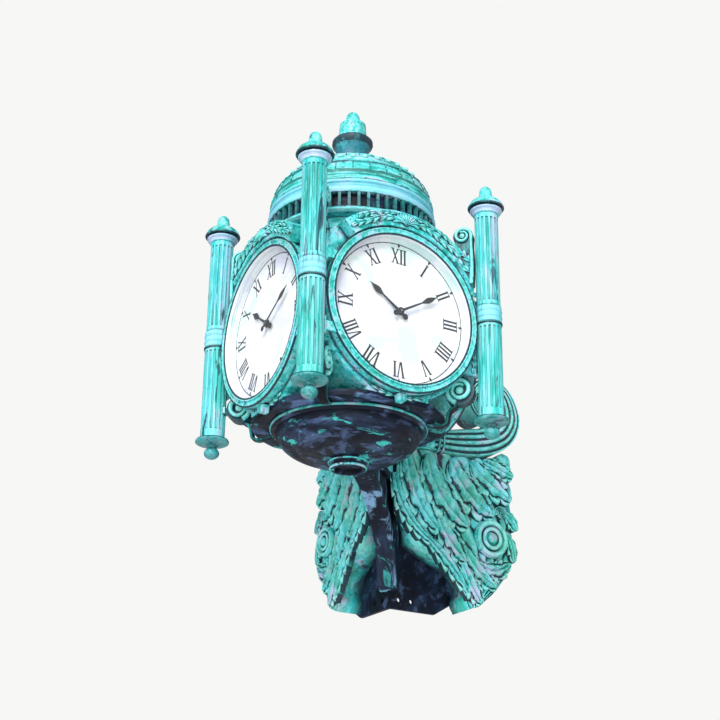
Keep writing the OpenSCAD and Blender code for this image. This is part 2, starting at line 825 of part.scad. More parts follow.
module hour_pipe(k) {
    color(BRASS) difference() {
        union() {
            on_face(k, hour_wheel_w, hour_wheel_w + wheel_t) gear_2d(HOUR_WHEEL);
            face(k) translate([0, 0, hour_wheel_w - 2]) cylinder(h = hour_w + 8 - hour_wheel_w + 2, r = pipe_r);
        }
        face(k) translate([0, 0, hour_wheel_w - 4]) cylinder(h = 120, r = arbor_r + run);
    }
}

// Idler: a wheel driven by the cannon pinion, and a pinion that drives the hour wheel
module idler(k) {
    color(BRASS) union() {
        on_face(k, wheel_w, wheel_w + wheel_t) translate([0, -gear_distance]) rotate(90 + 5) gear_2d(IDLER_WHEEL);
        on_face(k, hour_wheel_w, hour_wheel_w + wheel_t) translate([0, -gear_distance]) rotate(90 + 18)
            gear_2d(IDLER_PINION);
        face(k) translate([0, -gear_distance, rear_plate_w + 1])
            cylinder(h = front_plate_w + plate_t - rear_plate_w - 2, r = idler_r);
    }
}

module motion_frame(k) {
    color(IRON) difference() {
        union() {
            on_face(k, rear_plate_w, rear_plate_w + plate_t) union() {
                translate([-650, -30]) square([1300, 60]);
                translate([-75, -118]) square([150, 176]);
            }
            on_face(k, front_plate_w, front_plate_w + plate_t) translate([-75, -118]) square([150, 176]);
            face(k) for (u = [-62, 62], v = [-104, 44]) translate([u, v, rear_plate_w + 1])
                cylinder(h = front_plate_w - rear_plate_w, r = 8);
            for (u = [-650, 625]) on_face(k, rear_plate_w + plate_t - 1, panel_in - 0.5)
                translate([u, -30]) square([25, 60]);
        }
        face(k) translate([0, 0, rear_plate_w - 1]) cylinder(h = plate_t + 2, r = arbor_r + run);
        face(k) translate([0, 0, front_plate_w - 1]) cylinder(h = plate_t + 2, r = pipe_r + run);
        face(k) translate([0, -gear_distance, rear_plate_w - 1]) cylinder(h = 100, r = idler_r + run);
    }
}

module motion_frames() {
    for (k = [0:3]) motion_frame(k);
}

module drive_shaft() {
    apex = bevel_r;
    color(STEEL) clock() union() {
        bevel_gear(2 * bevel_teeth, 2 * bevel_r, apex, 8.4, 10.5);
        translate([0, 0, -apex - 14]) cylinder(h = 14, r = 2 * bevel_r - 14);
        translate([0, 0, -340]) cylinder(h = 340 - apex - 1, r = shaft_r);
    }
}

// Uprights with bushes that carry the four arbors round the centre bevel
module bevel_frame() {
    color(IRON) difference() {
        union() {
            clock() translate([-150, -150, -300]) cube([300, 300, 20]);
            for (k = [0:3]) on_face(k, bevel_post_w, bevel_post_w + 16) translate([-20, -281]) square([40, 305]);
        }
        clock() translate([0, 0, -301]) cylinder(h = 22, r = shaft_r + run);
        for (k = [0:3]) face(k) translate([0, 0, bevel_post_w - 1]) cylinder(h = 18, r = arbor_r + run);
    }
}

// Gearbox with its motor on four legs that stand on the base frame
module movement_case() {
    color(IRON) clock() difference() {
        union() {
            translate([-130, -130, -520]) cube([260, 260, 219]);
            for (x = [-1, 1], y = [-1, 1]) translate([x * 105 - 20, y * 105 - 20, base_top + 0.5])
                cube([40, 40, -base_top - 520]);
            translate([0, 0, -430]) rotate([0, 90, 0]) cylinder(h = 260, r = 62);
        }
        translate([0, 0, -345]) cylinder(h = 60, r = shaft_r + run);
    }
}

module lamp_battens() {
    color(OPAL) for (k = [0:3], u = [-200, 200]) on_face(k, 540, 575)
        translate([u - 22, base_top + 0.5]) square([44, 1060]);
}

// ---------------------------------------------------------------- output

corner_shoe();
spine_arm();
wing(right_reach);  // wing_right
other_wall() wing(left_reach);  // wing_left
big_scroll(right_reach);  // scroll_right
other_wall() big_scroll(left_reach);  // scroll_left
base_frame();
corner_niches();
bowl();
bowl_pendant();
movement_case();
bevel_frame();
drive_shaft();
column(0);  // column_front_left
column(1);  // column_front_right
column(2);  // column_rear_right
column(3);  // column_rear_left
column_caps();
column_feet();
roof_vault();
vent_drum();
dome();
finial();
upper_scrolls();
lower_scrolls();
dials();
motion_frames();
lamp_battens();
hinge_pins();
for (k = [0:3]) {
    face_panel(k);
    bezel(k);
    glass(k);
    minute_hand(k);
    hour_hand(k);
    minute_arbor(k);
    hour_pipe(k);
    idler(k);
}
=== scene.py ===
"""Four-dial verdigris street clock on a building's corner: looks, lights and camera."""
import math
import bmesh
import bpy
import numpy as np
from mathutils import Matrix, Vector


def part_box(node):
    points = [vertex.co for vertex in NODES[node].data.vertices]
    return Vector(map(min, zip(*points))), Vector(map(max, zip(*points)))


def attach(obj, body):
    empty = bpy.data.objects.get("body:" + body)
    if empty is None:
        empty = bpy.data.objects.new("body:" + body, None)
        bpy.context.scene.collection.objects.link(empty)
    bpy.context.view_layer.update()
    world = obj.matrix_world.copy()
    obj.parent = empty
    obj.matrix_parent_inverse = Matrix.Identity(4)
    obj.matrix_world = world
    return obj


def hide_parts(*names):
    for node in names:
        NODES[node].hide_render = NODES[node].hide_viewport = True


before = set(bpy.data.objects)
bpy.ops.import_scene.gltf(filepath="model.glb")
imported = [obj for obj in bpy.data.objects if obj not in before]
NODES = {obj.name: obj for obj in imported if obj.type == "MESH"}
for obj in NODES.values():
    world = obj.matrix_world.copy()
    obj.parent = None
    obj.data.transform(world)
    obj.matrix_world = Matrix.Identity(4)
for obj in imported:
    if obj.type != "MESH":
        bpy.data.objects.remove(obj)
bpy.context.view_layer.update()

FACES = ["front", "right", "rear", "left"]
pi = math.pi
rad = math.radians

# The clock's upright axis and dial height, and the stations that the solids set
lo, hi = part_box("dials")
AX, AY, AZ = (lo.x + hi.x) / 2, (lo.y + hi.y) / 2, (lo.z + hi.z) / 2
DIAL_W = (hi.x - lo.x) / 2            # outer face of the dial plates
HOOD_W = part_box("face_panel_right")[1].x - AX
PANEL_W = 0.695                       # outer face of the face castings
BEZEL_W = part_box("bezel_right")[1].x - AX
WALL_GAP = -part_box("wing_right")[1].y  # back of the wings


# ---- materials

class Net:
    """One material, and short calls for its nodes; an input's spaces are written as underscores."""

    def __init__(self, name):
        self.material = bpy.data.materials.new(name)
        self.material.use_nodes = True
        self.t = self.material.node_tree
        self.t.nodes.clear()
        out = self.node("OutputMaterial")
        self.bsdf = self.node("BsdfPrincipled")
        self.t.links.new(self.bsdf.outputs[0], out.inputs[0])
        self.pos = self.node("TexCoord").outputs["Object"]

    def fill(self, node, values):
        for k, v in values.items():
            self.put(node.inputs[k.replace("_", " ")], v)

    def node(self, kind, **values):
        n = self.t.nodes.new("ShaderNode" + kind)
        self.fill(n, values)
        return n

    def look(self, **values):
        """Sets the surface's inputs and returns the material."""
        self.fill(self.bsdf, values)
        return self.material

    def put(self, socket, value):
        if value is None:
            return
        if isinstance(value, bpy.types.NodeSocket):
            self.t.links.new(value, socket)
        else:
            socket.default_value = value

    def noise(self, scale, detail=4.0, rough=0.55, warp=0.0, at=None, stretch=(1, 1, 1)):
        m = self.node("Mapping", Scale=stretch, Vector=at or self.pos)
        return self.node("TexNoise", Scale=scale, Detail=detail, Roughness=rough, Distortion=warp,
                         Vector=m.outputs[0]).outputs["Fac"]

    def math(self, op, a, b=None):
        n = self.node("Math")
        n.operation = op
        self.put(n.inputs[0], a)
        self.put(n.inputs[1], b)
        return n.outputs[0]

    def add(self, a, b):
        return self.math("ADD", a, b)

    def mul(self, a, b):
        return self.math("MULTIPLY", a, b)

    def step(self, value, low, high, to_low=0.0, to_high=1.0):
        n = self.node("MapRange", From_Min=low, From_Max=high, To_Min=to_low, To_Max=to_high, Value=value)
        n.interpolation_type = "SMOOTHSTEP"
        return n.outputs["Result"]

    def mix(self, fac, a, b):
        n = self.node("Mix")
        n.data_type = "RGBA"
        self.fill(n, {"Factor": fac, "A": a, "B": b})
        return n.outputs["Result"]

    def ramp(self, value, stops):
        n = self.node("ValToRGB")
        e = n.color_ramp.elements
        while len(e) < len(stops):
            e.new(0.5)
        for i, (p, c) in enumerate(stops):
            e[i].position = p
            e[i].color = c
        self.put(n.inputs[0], value)
        return n.outputs[0]

    def attribute(self, name):
        n = self.node("Attribute")
        n.attribute_name = name
        return n.outputs["Fac"]

    def occlusion(self, reach):
        n = self.node("AmbientOcclusion", Distance=reach)
        n.samples = 6
        n.only_local = True
        return n.outputs["AO"]

    def bump(self, height, strength, distance):
        return self.node("Bump", Strength=strength, Distance=distance, Height=height).outputs[0]


def rgb(*given):
    """A colour given as it looks, 0 to 255, in linear light."""
    return (*(v / 12.92 if v <= 0.04045 else ((v + 0.055) / 1.055) ** 2.4 for v in np.divide(given, 255)), 1.0)


def flow_of(n, flow):
    """Coordinates drawn out along a casting's own direction: upright, or round the clock's axis."""
    if flow == "round":
        m = n.node("Mapping", Location=(-AX, -AY, 0), Vector=n.pos)
        x, y, z = n.node("SeparateXYZ", Vector=m.outputs[0]).outputs
        r = n.add(n.math("SQRT", n.add(n.mul(x, x), n.mul(y, y))), 0.02)
        return n.node("CombineXYZ", X=n.mul(n.math("DIVIDE", x, r), 0.30), Y=n.mul(n.math("DIVIDE", y, r), 0.30),
                      Z=n.add(n.mul(z, 1.5), n.mul(r, 0.7))).outputs[0]
    stretch = {"up": (1, 1, 0.13), "free": (1, 1, 1)}.get(flow, flow)
    return n.node("Mapping", Scale=stretch, Vector=n.pos).outputs[0]


def height_bands(n, col, bands):
    """Paints bands between two heights above the dials: (low, high, colour, strength)."""
    q = n.node("SeparateXYZ", Vector=n.pos)
    z = n.add(n.math("SUBTRACT", q.outputs[2], AZ), n.mul(n.math("SUBTRACT", n.noise(22, 2), 0.5), 0.02))
    for low, high, colour, strength in bands:
        m = n.mul(n.step(z, low - 0.006, low + 0.006), n.step(z, high - 0.006, high + 0.006, 1.0, 0.0))
        m = n.mul(m, n.step(n.noise(13, 3, 0.6), 0.26, 0.46, 0.55 * strength, strength))
        col = n.mix(m, col, colour)
    return col


EMERALD, TEAL, TURQUOISE = rgb(18, 150, 122), rgb(26, 168, 164), rgb(64, 204, 208)
LIGHT, LAVENDER, NAVY, SLATE = rgb(154, 230, 236), rgb(188, 192, 228), rgb(20, 30, 50), rgb(16, 62, 80)
SKY = rgb(140, 212, 236)


def patina(name, flow="free", shade=0.0, pits=0.0, reach=0.05, deep=NAVY, strokes=0.8, pale=0.6, bands=(),
           shadow=(0.40, 0.92), green=0.15):
    """Verdigris bronze: turquoise and emerald strokes, painted highlights in pale and lavender strokes and on the
    ridges, painted navy shade in the hollows, and an overall painted shade as strong as shade.
    """
    n = Net(name)
    at = flow_of(n, flow)
    drift = n.noise(2.6, 4, 0.6, 0.7, at)
    streak = n.noise(13, 4, 0.6, 0.8, at)
    fine = n.noise(42, 3, 0.62, 0.4, at)
    grain = n.noise(90, 3, 0.6)
    base = n.ramp(drift, [(0.30, EMERALD), (0.42, TEAL), (0.54, TURQUOISE), (0.64, rgb(72, 198, 222)),
                           (0.76, TEAL)])
    tint = n.ramp(streak, [(0.32, rgb(10, 116, 106)), (0.42, rgb(26, 172, 164)), (0.50, rgb(88, 214, 218)),
                            (0.60, LIGHT), (0.70, rgb(28, 168, 140))])
    col = n.mix(0.58, base, tint)
    # Painted highlights: scattered pale strokes, then lavender strokes as strong as pale.
    col = n.mix(n.mul(n.step(fine, 0.52, 0.66), 0.45), col, LIGHT)
    lav_highlight = n.mul(n.step(n.noise(6.5, 3, 0.55, 0.5, at), 0.52, 0.62), n.step(streak, 0.44, 0.56))
    col = n.mix(n.mul(lav_highlight, pale), col, LAVENDER)
    rust = n.mul(n.step(n.noise(8.5, 3, 0.5, 0.6, at, (1.3, 1.1, 1.2)), 0.63, 0.70), n.step(fine, 0.45, 0.6))
    col = n.mix(n.mul(rust, 0.55), col, rgb(132, 112, 62))
    dark = n.step(n.noise(17, 3, 0.6, 0.9, at, (1.1, 0.9, 1.05)), 0.585, 0.645)
    dark = n.mul(dark, n.step(drift, 0.38, 0.52, 0.55, 1.0))
    col = n.mix(n.mul(dark, strokes), col, SLATE)
    leafy = n.mul(n.step(n.noise(5.5, 3, 0.6, 0.6, at), 0.48, 0.60), green)
    col = n.mix(leafy, col, rgb(26, 158, 108))
    cav, ridge = n.attribute("cav"), n.attribute("ridge")
    # Painted highlight: the ridges turn pale mint.
    col = n.mix(n.mul(ridge, n.step(fine, 0.34, 0.56, 0.35, 0.9)), col, rgb(160, 240, 230))
    col = height_bands(n, col, bands)
    # Painted shade: ambient occlusion and the cav values darken the hollows towards deep, with a ragged edge.
    ao = n.step(n.occlusion(reach), shadow[0], shadow[1], 1.0, 0.0)
    hollow = n.math("MAXIMUM", ao, cav)
    ragged_shade = n.step(n.add(hollow, n.mul(n.math("SUBTRACT", streak, 0.5), 0.8)), 0.30, 0.66)
    col = n.mix(n.mul(ragged_shade, 0.94), col, deep)
    if pits:
        spots = n.node("TexVoronoi", Scale=30, Vector=n.pos)
        pit = n.step(spots.outputs["Distance"], 0.12, 0.30, 1.0, 0.0)
        pit = n.mul(pit, n.step(n.noise(8, 3), 0.48, 0.58))
        col = n.mix(n.mul(pit, pits), col, SLATE)
    if shade:
        col = n.mix(shade, col, rgb(14, 26, 40))
    h = n.add(n.mul(streak, 0.55), n.mul(grain, 0.25))
    return n.look(Base_Color=col, Roughness=n.step(streak, 0.3, 0.7, 0.38, 0.62), Metallic=0.0,
                  Specular_IOR_Level=0.4, Normal=n.bump(n.add(h, n.mul(fine, 0.3)), 0.5, 0.008))


def shaded_patina(name, sheen=0.35, flow="free", slate=0.35, bright=(96, 120, 166)):
    """Painted shade for parts that hang in shadow: near-black blue bronze, with broken teal glints, slate
    highlights and ridge highlights drawn out along its casting.
    """
    n = Net(name)
    at = flow_of(n, flow)
    a = n.noise(3.6, 5, 0.6, 0.5, at)
    c = n.noise(10, 4, 0.6, 0.9, at)
    # Painted shade: a near-black blue base.
    col = n.ramp(a, [(0.36, rgb(8, 12, 24)), (0.50, rgb(16, 24, 42)), (0.60, rgb(34, 50, 76)),
                     (0.70, rgb(14, 20, 36))])
    # Painted highlights: slate-blue strokes, as many as slate asks for, in the colour bright.
    blue = n.mul(n.step(n.noise(7, 5, 0.65, 0.4, at), 0.52, 0.64), slate)
    col = n.mix(blue, col, rgb(*bright))
    glint = n.mul(n.step(c, 0.55, 0.62), n.step(a, 0.50, 0.58))
    col = n.mix(n.mul(glint, sheen), col, rgb(70, 196, 190))
    # Painted highlight: teal on the ridges.
    rim = n.mul(n.attribute("ridge"), n.step(c, 0.36, 0.56, 0.25, 1.0))
    col = n.mix(rim, col, rgb(40, 178, 168))
    # Painted shade: near-black in the occluded hollows.
    hollow = n.math("MAXIMUM", n.step(n.occlusion(0.05), 0.5, 0.95, 1.0, 0.0), n.attribute("cav"))
    col = n.mix(n.mul(hollow, 0.85), col, rgb(6, 9, 16))
    return n.look(Base_Color=col, Roughness=n.step(c, 0.3, 0.7, 0.45, 0.70), Specular_IOR_Level=0.18,
                  Normal=n.bump(c, 0.4, 0.006))


def painted(name, colour, other, rough=0.4, metal=0.0, scale=20.0):
    """Plain paint, metal or plaster with a faint grain."""
    n = Net(name)
    v = n.noise(scale, 5, 0.6)
    return n.look(Base_Color=n.ramp(v, [(0.3, other), (0.6, colour)]), Metallic=metal,
                  Roughness=n.step(v, 0.3, 0.7, rough * 0.8, rough * 1.25),
                  Normal=n.bump(n.noise(scale * 4, 3), 0.25, 0.0008))


def dial_white():
    """White enamel with faint lavender and mint drifts."""
    n = Net("dial_white")
    a = n.noise(3.2, 3, 0.55, 0.8, stretch=(1, 1, 1.2))
    c = n.noise(9, 4, 0.6, 0.5, stretch=(1, 1, 0.4))
    col = n.ramp(a, [(0.36, rgb(214, 218, 234)), (0.47, rgb(228, 233, 238)), (0.56, rgb(232, 236, 238)),
                     (0.66, rgb(204, 230, 230))])
    col = n.mix(n.step(c, 0.56, 0.72, 0.0, 0.35), col, rgb(200, 196, 226))
    return n.look(Base_Color=col, Roughness=n.step(c, 0.3, 0.7, 0.42, 0.55), Normal=n.bump(c, 0.12, 0.002))


def clear_glass():
    n = Net("clear_glass")
    v = n.noise(5, 2)
    return n.look(Base_Color=n.ramp(v, [(0.3, rgb(236, 246, 248)), (0.7, rgb(250, 253, 253))]), Alpha=0.025,
                  Roughness=n.step(v, 0.3, 0.7, 0.02, 0.05), IOR=1.45, Specular_IOR_Level=0.1)


PATINA = patina("patina")
PATINA_FACE = patina("patina_face", pits=0.9, strokes=0.6)
CAP_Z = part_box("column_caps")[0].z - AZ + 0.049
PATINA_COLUMN = patina("patina_column", "up", reach=0.020, strokes=0.95, shadow=(0.66, 0.97), bands=[
    (0.060, 0.190, SKY, 0.55), (0.040, 0.058, NAVY, 0.8), (0.188, 0.197, NAVY, 0.8)])
PATINA_CAP = patina("patina_cap", reach=0.03, bands=[
    (CAP_Z - 0.046, CAP_Z - 0.006, LAVENDER, 0.75), (CAP_Z - 0.004, CAP_Z + 0.022, NAVY, 0.92)])
# The feet are seen from below: shade paints their shade.
PATINA_FOOT = patina("patina_foot", shade=0.5)
DRUM_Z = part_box("vent_drum")[1].z - AZ
# The dark teal band over the vent bars' height is painted shade for the drum's recess.
PATINA_DRUM = patina("patina_drum", "round", reach=0.03, bands=[
    (DRUM_Z - 0.254, DRUM_Z - 0.222, NAVY, 0.55), (DRUM_Z - 0.196, DRUM_Z - 0.062, rgb(14, 62, 74), 0.8),
    (DRUM_Z - 0.056, DRUM_Z - 0.004, SKY, 0.8)])
PATINA_DOME = patina("patina_dome", "round", reach=0.03, bands=[
    (DRUM_Z + 0.000, DRUM_Z + 0.050, SKY, 0.7), (DRUM_Z + 0.050, DRUM_Z + 0.064, NAVY, 0.8),
    (DRUM_Z + 0.118, DRUM_Z + 0.150, rgb(20, 92, 84), 0.85), (DRUM_Z + 0.225, DRUM_Z + 0.240, SLATE, 0.8),
    (DRUM_Z + 0.440, DRUM_Z + 0.462, rgb(30, 130, 100), 0.7)])
NECK_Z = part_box("finial")[0].z - AZ
PATINA_FINIAL = patina("patina_finial", "round", reach=0.03, bands=[
    (NECK_Z, NECK_Z + 0.050, LAVENDER, 0.8), (NECK_Z + 0.052, NECK_Z + 0.072, NAVY, 0.9),
    (NECK_Z + 0.076, NECK_Z + 0.176, rgb(18, 92, 118), 0.8),
    (NECK_Z + 0.176, NECK_Z + 0.252, NAVY, 0.94)])
PATINA_CARVED = patina("patina_carved", reach=0.016, strokes=0.6, shadow=(0.25, 0.75))
PATINA_WING = patina("patina_wing", (0.8, 0.8, 0.5), reach=0.014, strokes=0.6, pale=0.9,
                     shadow=(0.2, 0.7), green=0.4)
PATINA_ROLL = patina("patina_roll", reach=0.012, strokes=0.7, deep=rgb(12, 30, 48), shadow=(0.3, 0.8))
# A shaded copy of the patina: painted shade for the corner niches and the bowl's rim bead.
PATINA_SHADED = patina("patina_shaded", shade=0.30, reach=0.03)
# Near-black painted shade for the parts that hang in shadow: the bowl and its pendant, the cornice, the arm and
# the straps, the shoe and the vent sheet.
DARK = shaded_patina("dark_bronze", 0.9, "round", 0.42)
DARK_CORNICE = shaded_patina("dark_cornice", 0.75, "round", 0.8)
DARK_ARM = shaded_patina("dark_arm", 0.8, (0.9, 0.9, 0.22), 0.9, (128, 168, 206))
DARK_PLAIN = shaded_patina("dark_bronze_plain", 0.1)
DIAL = dial_white()
GLASS = clear_glass()
BLACK = painted("black_paint", rgb(16, 18, 26), rgb(8, 9, 14), 0.5, 0.0, 30)
INK = painted("dial_ink", rgb(28, 28, 34), rgb(12, 12, 16), 0.6, 0.0, 40)
BRASS = painted("brass_satin", (0.60, 0.42, 0.14, 1), (0.42, 0.28, 0.09, 1), 0.34, 1.0, 60)
STEEL = painted("steel_brushed", (0.50, 0.52, 0.54, 1), (0.34, 0.35, 0.37, 1), 0.3, 1.0, 80)
IRON = painted("iron_paint", rgb(66, 70, 74), rgb(42, 45, 48), 0.5, 0.0, 30)
LAMP = painted("lamp_white", rgb(240, 238, 228), rgb(214, 212, 204), 0.6, 0.0, 14)
FLOOR = painted("floor", rgb(236, 236, 234), rgb(228, 228, 226), 0.85, 0.0, 0.6)


def paint(node, material):
    o = NODES[node]
    if not o.data.materials:
        o.data.materials.append(material)
    for s in o.material_slots:
        s.link = "OBJECT"
        s.material = material


LOOKS = {
    "corner_shoe": DARK_PLAIN, "spine_arm": DARK_ARM, "base_frame": DARK_CORNICE, "bowl": DARK,
    "bowl_pendant": DARK, "movement_case": IRON, "bevel_frame": IRON, "motion_frames": IRON, "drive_shaft": STEEL,
    "column_caps": PATINA_CAP, "column_feet": PATINA_FOOT, "roof_vault": PATINA, "vent_drum": PATINA_DRUM,
    "corner_niches": PATINA_SHADED, "dome": PATINA_DOME, "finial": PATINA_FINIAL, "dials": DIAL,
    "lamp_battens": LAMP, "hinge_pins": BRASS,
    # the stems of the names that end in a face
    "face_panel": PATINA_FACE, "bezel": PATINA_FACE, "glass": GLASS, "minute_hand": BLACK, "hour_hand": BLACK,
    "minute_arbor": STEEL, "hour_pipe": BRASS, "idler": BRASS,
}
for name in NODES:
    other = PATINA_COLUMN if name.startswith("column_") else PATINA
    paint(name, LOOKS.get(name, LOOKS.get(name.rsplit("_", 1)[0], other)))


# ---- mesh helpers

def face_outwards(bm):
    """Turns the faces of every closed shell outwards."""
    bmesh.ops.recalc_face_normals(bm, faces=bm.faces)
    seen = set()
    for start in bm.faces:
        if start in seen:
            continue
        seen.add(start)
        shell = [start]
        for face in shell:            # the shell grows as it is read
            for other in (g for e in face.edges for g in e.link_faces if g not in seen):
                seen.add(other)
                shell.append(other)
        home, volume = start.verts[0].co.copy(), 0.0
        for face in shell:
            p = [v.co - home for v in face.verts]
            volume += sum(p[0].dot(p[i].cross(p[i + 1])) for i in range(1, len(p) - 1))
        if volume < 0:
            bmesh.ops.reverse_faces(bm, faces=shell)


class Build:
    """Gathers vertices, faces and the cav and ridge values of one piece: the materials paint shade where cav is
    high and highlights where ridge is high.
    """

    def __init__(self):
        self.v, self.f, self.cav, self.ridge = [], [], [], []
        self.n = 0

    def add(self, points, faces, cav=0.0, ridge=0.0):
        p = np.asarray(points, float).reshape(-1, 3)
        self.v.append(p)
        self.f += [tuple(i + self.n for i in q) for q in faces]
        for store, q in ((self.cav, cav), (self.ridge, ridge)):
            store.append(np.broadcast_to(np.asarray(q, float).ravel(), (len(p),)))
        self.n += len(p)

    def piece(self, name, material, body="clock", slot="verdigris", replaces=(), bevel=0.0, smooth=40):
        me = bpy.data.meshes.new(name)
        me.from_pydata(np.concatenate(self.v).tolist(), [], self.f)
        for key, data in (("cav", self.cav), ("ridge", self.ridge)):
            a = me.attributes.new(key, "FLOAT", "POINT")
            a.data.foreach_set("value", np.concatenate(data).astype(np.float32))
        me.validate()
        bm = bmesh.new()
        bm.from_mesh(me)
        face_outwards(bm)
        bm.to_mesh(me)
        bm.free()
        me.update()
        o = bpy.data.objects.new(name, me)
        bpy.context.scene.collection.objects.link(o)
        me.materials.append(material)
        me.shade_smooth()
        if bevel:
            b = o.modifiers.new("bevel", "BEVEL")
            b.width = bevel
            b.segments = 2
            b.angle_limit = rad(35)
        me.set_sharp_from_angle(angle=rad(smooth))
        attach(o, body)
        if replaces:
            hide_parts(*replaces)


def grid_faces(nu, nv, start=0, flip=False, close_u=False, close_v=False):
    """Quads of a grid of nu by nv points that starts at the given index."""
    out = []
    for i in range(nu if close_u else nu - 1):
        for j in range(nv if close_v else nv - 1):
            a, b = start + i * nv + j, start + ((i + 1) % nu) * nv + j
            c, d = start + ((i + 1) % nu) * nv + (j + 1) % nv, start + i * nv + (j + 1) % nv
            out.append((a, d, c, b) if flip else (a, b, c, d))
    return out


def slab(build, top, bottom, cav=0.0, ridge=0.0, flip=False, alike=False):
    """A closed shell between two grids of points, whose back gets a high cav as painted shade, unless both sides
    are alike.
    """
    nu, nv = top.shape[:2]
    n = nu * nv
    faces = grid_faces(nu, nv, 0, flip) + grid_faces(nu, nv, n, not flip)
    rim = [i * nv for i in range(nu)] + [(nu - 1) * nv + j for j in range(1, nv)]
    rim += [i * nv + nv - 1 for i in range(nu - 2, -1, -1)] + [j for j in range(nv - 2, 0, -1)]
    for i, a in enumerate(rim):
        b = rim[(i + 1) % len(rim)]
        faces.append((a, a + n, b + n, b) if flip else (b, b + n, a + n, a))
    c, r = (np.broadcast_to(np.asarray(q, float), (nu, nv)).ravel() for q in (cav, ridge))
    back = (c, r) if alike else (np.maximum(c, 0.7), r * 0)
    build.add(np.concatenate([top.reshape(-1, 3), bottom.reshape(-1, 3)]), faces,
              np.concatenate([c, back[0]]), np.concatenate([r, back[1]]))


def revolve(build, profile, n):
    """A closed ring from (radius, height above the dials) points, turned about the clock's axis."""
    p = np.array(profile, float)
    a = np.linspace(0, 2 * pi, n, endpoint=False)
    r = p[None, :, 0] + 0 * a[:, None]
    pts = np.stack([r * np.cos(a)[:, None], r * np.sin(a)[:, None], np.broadcast_to(p[:, 1], r.shape)], -1)
    pts += np.array((AX, AY, AZ))
    build.add(pts, grid_faces(n, len(p), close_u=True, close_v=True))


def round_section(r, z, w, h, n=10):
    """A rounded bead's (radius, height) points, w wide and h high, centred at (r, z)."""
    a = np.linspace(0, 2 * pi, n, endpoint=False)
    return np.stack([r + w / 2 * np.cos(a), z + h / 2 * np.sin(a)], -1)


def dome_button(build, centre, normal, r, h, n=20, ridge=0.0, ring=False):
    """A round boss on a surface: a low dome, or a dome inside a raised ring."""
    z = np.array(normal, float)
    z /= np.linalg.norm(z)
    x = np.cross(z, [0.3, 0.5, 0.81])
    x /= np.linalg.norm(x)
    y = np.cross(z, x)
    if ring:
        prof = [(0.001, .75 * h), (.3, .72 * h), (.44, .3 * h), (.52, .12 * h), (.6, .3 * h), (.72, .85 * h),
                (.84, h), (.95, .8 * h), (1, .35 * h), (1, -.3 * h)]
        cv = [0, 0, .6, 1, .8, .1, 0, .1, .5, .8]
    else:
        prof = [(0.001, h), (.35, .93 * h), (.65, .72 * h), (.88, .38 * h), (1, 0), (1, -.3 * h)]
        cv = [0, 0, 0, .15, .6, .8]
    prof = np.array(prof)
    a = np.linspace(0, 2 * pi, n, endpoint=False)
    spokes = np.cos(a)[:, None, None] * x + np.sin(a)[:, None, None] * y
    pts = np.array(centre)[None, None] + r * prof[None, :, 0, None] * spokes + prof[None, :, 1, None] * z
    k = len(prof)
    faces = grid_faces(n, k, close_u=True)
    faces.append(tuple(i * k for i in range(n)))
    faces.append(tuple(i * k + k - 1 for i in range(n - 1, -1, -1)))
    build.add(pts, faces, np.broadcast_to(cv, (n, k)), ridge)


# A surface to carve on: it turns flat coordinates (x, y) and a height h above it into a place in the frame

def over(place, xy, h):
    """A grid of points of a carved surface."""
    return place(xy[..., 0], xy[..., 1], h)


def spot(place, x, y, h):
    """One point of a carved surface."""
    return place(np.array([float(x)]), np.array([float(y)]), np.array([float(h)]))[0]


def on_face(k, w0):
    """Face k: x to the right seen from outside, y up, h outwards from station w0."""
    c, s = [(1, 0), (0, 1), (-1, 0), (0, -1)][k]

    def place(x, y, h):
        w = -(w0 + h)
        return np.stack([AX + x * c - w * s, AY + x * s + w * c, AZ + y + 0 * x], -1)
    return place


def on_diagonal(k):
    """The upright plane through corner k: x from the clock's axis, y the height above the dials."""
    a = rad(225 + 90 * k)
    d, e = (math.cos(a), math.sin(a)), (-math.sin(a), math.cos(a))

    def place(x, y, h):
        return np.stack([AX + x * d[0] + h * e[0], AY + x * d[1] + h * e[1], AZ + y + 0 * x], -1)
    return place


def on_wall(side, reach=1.0):
    """A wall's plane: x along the wall from the corner, y the height above the dials, h out from the wall."""
    def place(x, y, h):
        x = np.where(x > 0, x * reach, x)
        p = [x, -h + 0 * x, AZ + y + 0 * x]
        return np.stack(p if side == "right" else [p[1], p[0], p[2]], -1)
    return place


def on_turned(profile):
    """A turned surface: x is the angle, y the distance along its (radius, height) profile."""
    p = np.array(profile, float)
    d = np.concatenate([[0], np.cumsum(np.hypot(*np.diff(p, axis=0).T))])
    g = np.gradient(p, d, axis=0)

    def place(x, y, h):
        r, z = np.interp(y, d, p[:, 0]), np.interp(y, d, p[:, 1])
        gr, gz = np.interp(y, d, g[:, 0]), np.interp(y, d, g[:, 1])
        m = np.hypot(gr, gz)
        r, z = r + h * gz / m, z - h * gr / m
        return np.stack([AX + r * np.cos(x), AY + r * np.sin(x), AZ + z], -1)
    place.length = d[-1]
    return place


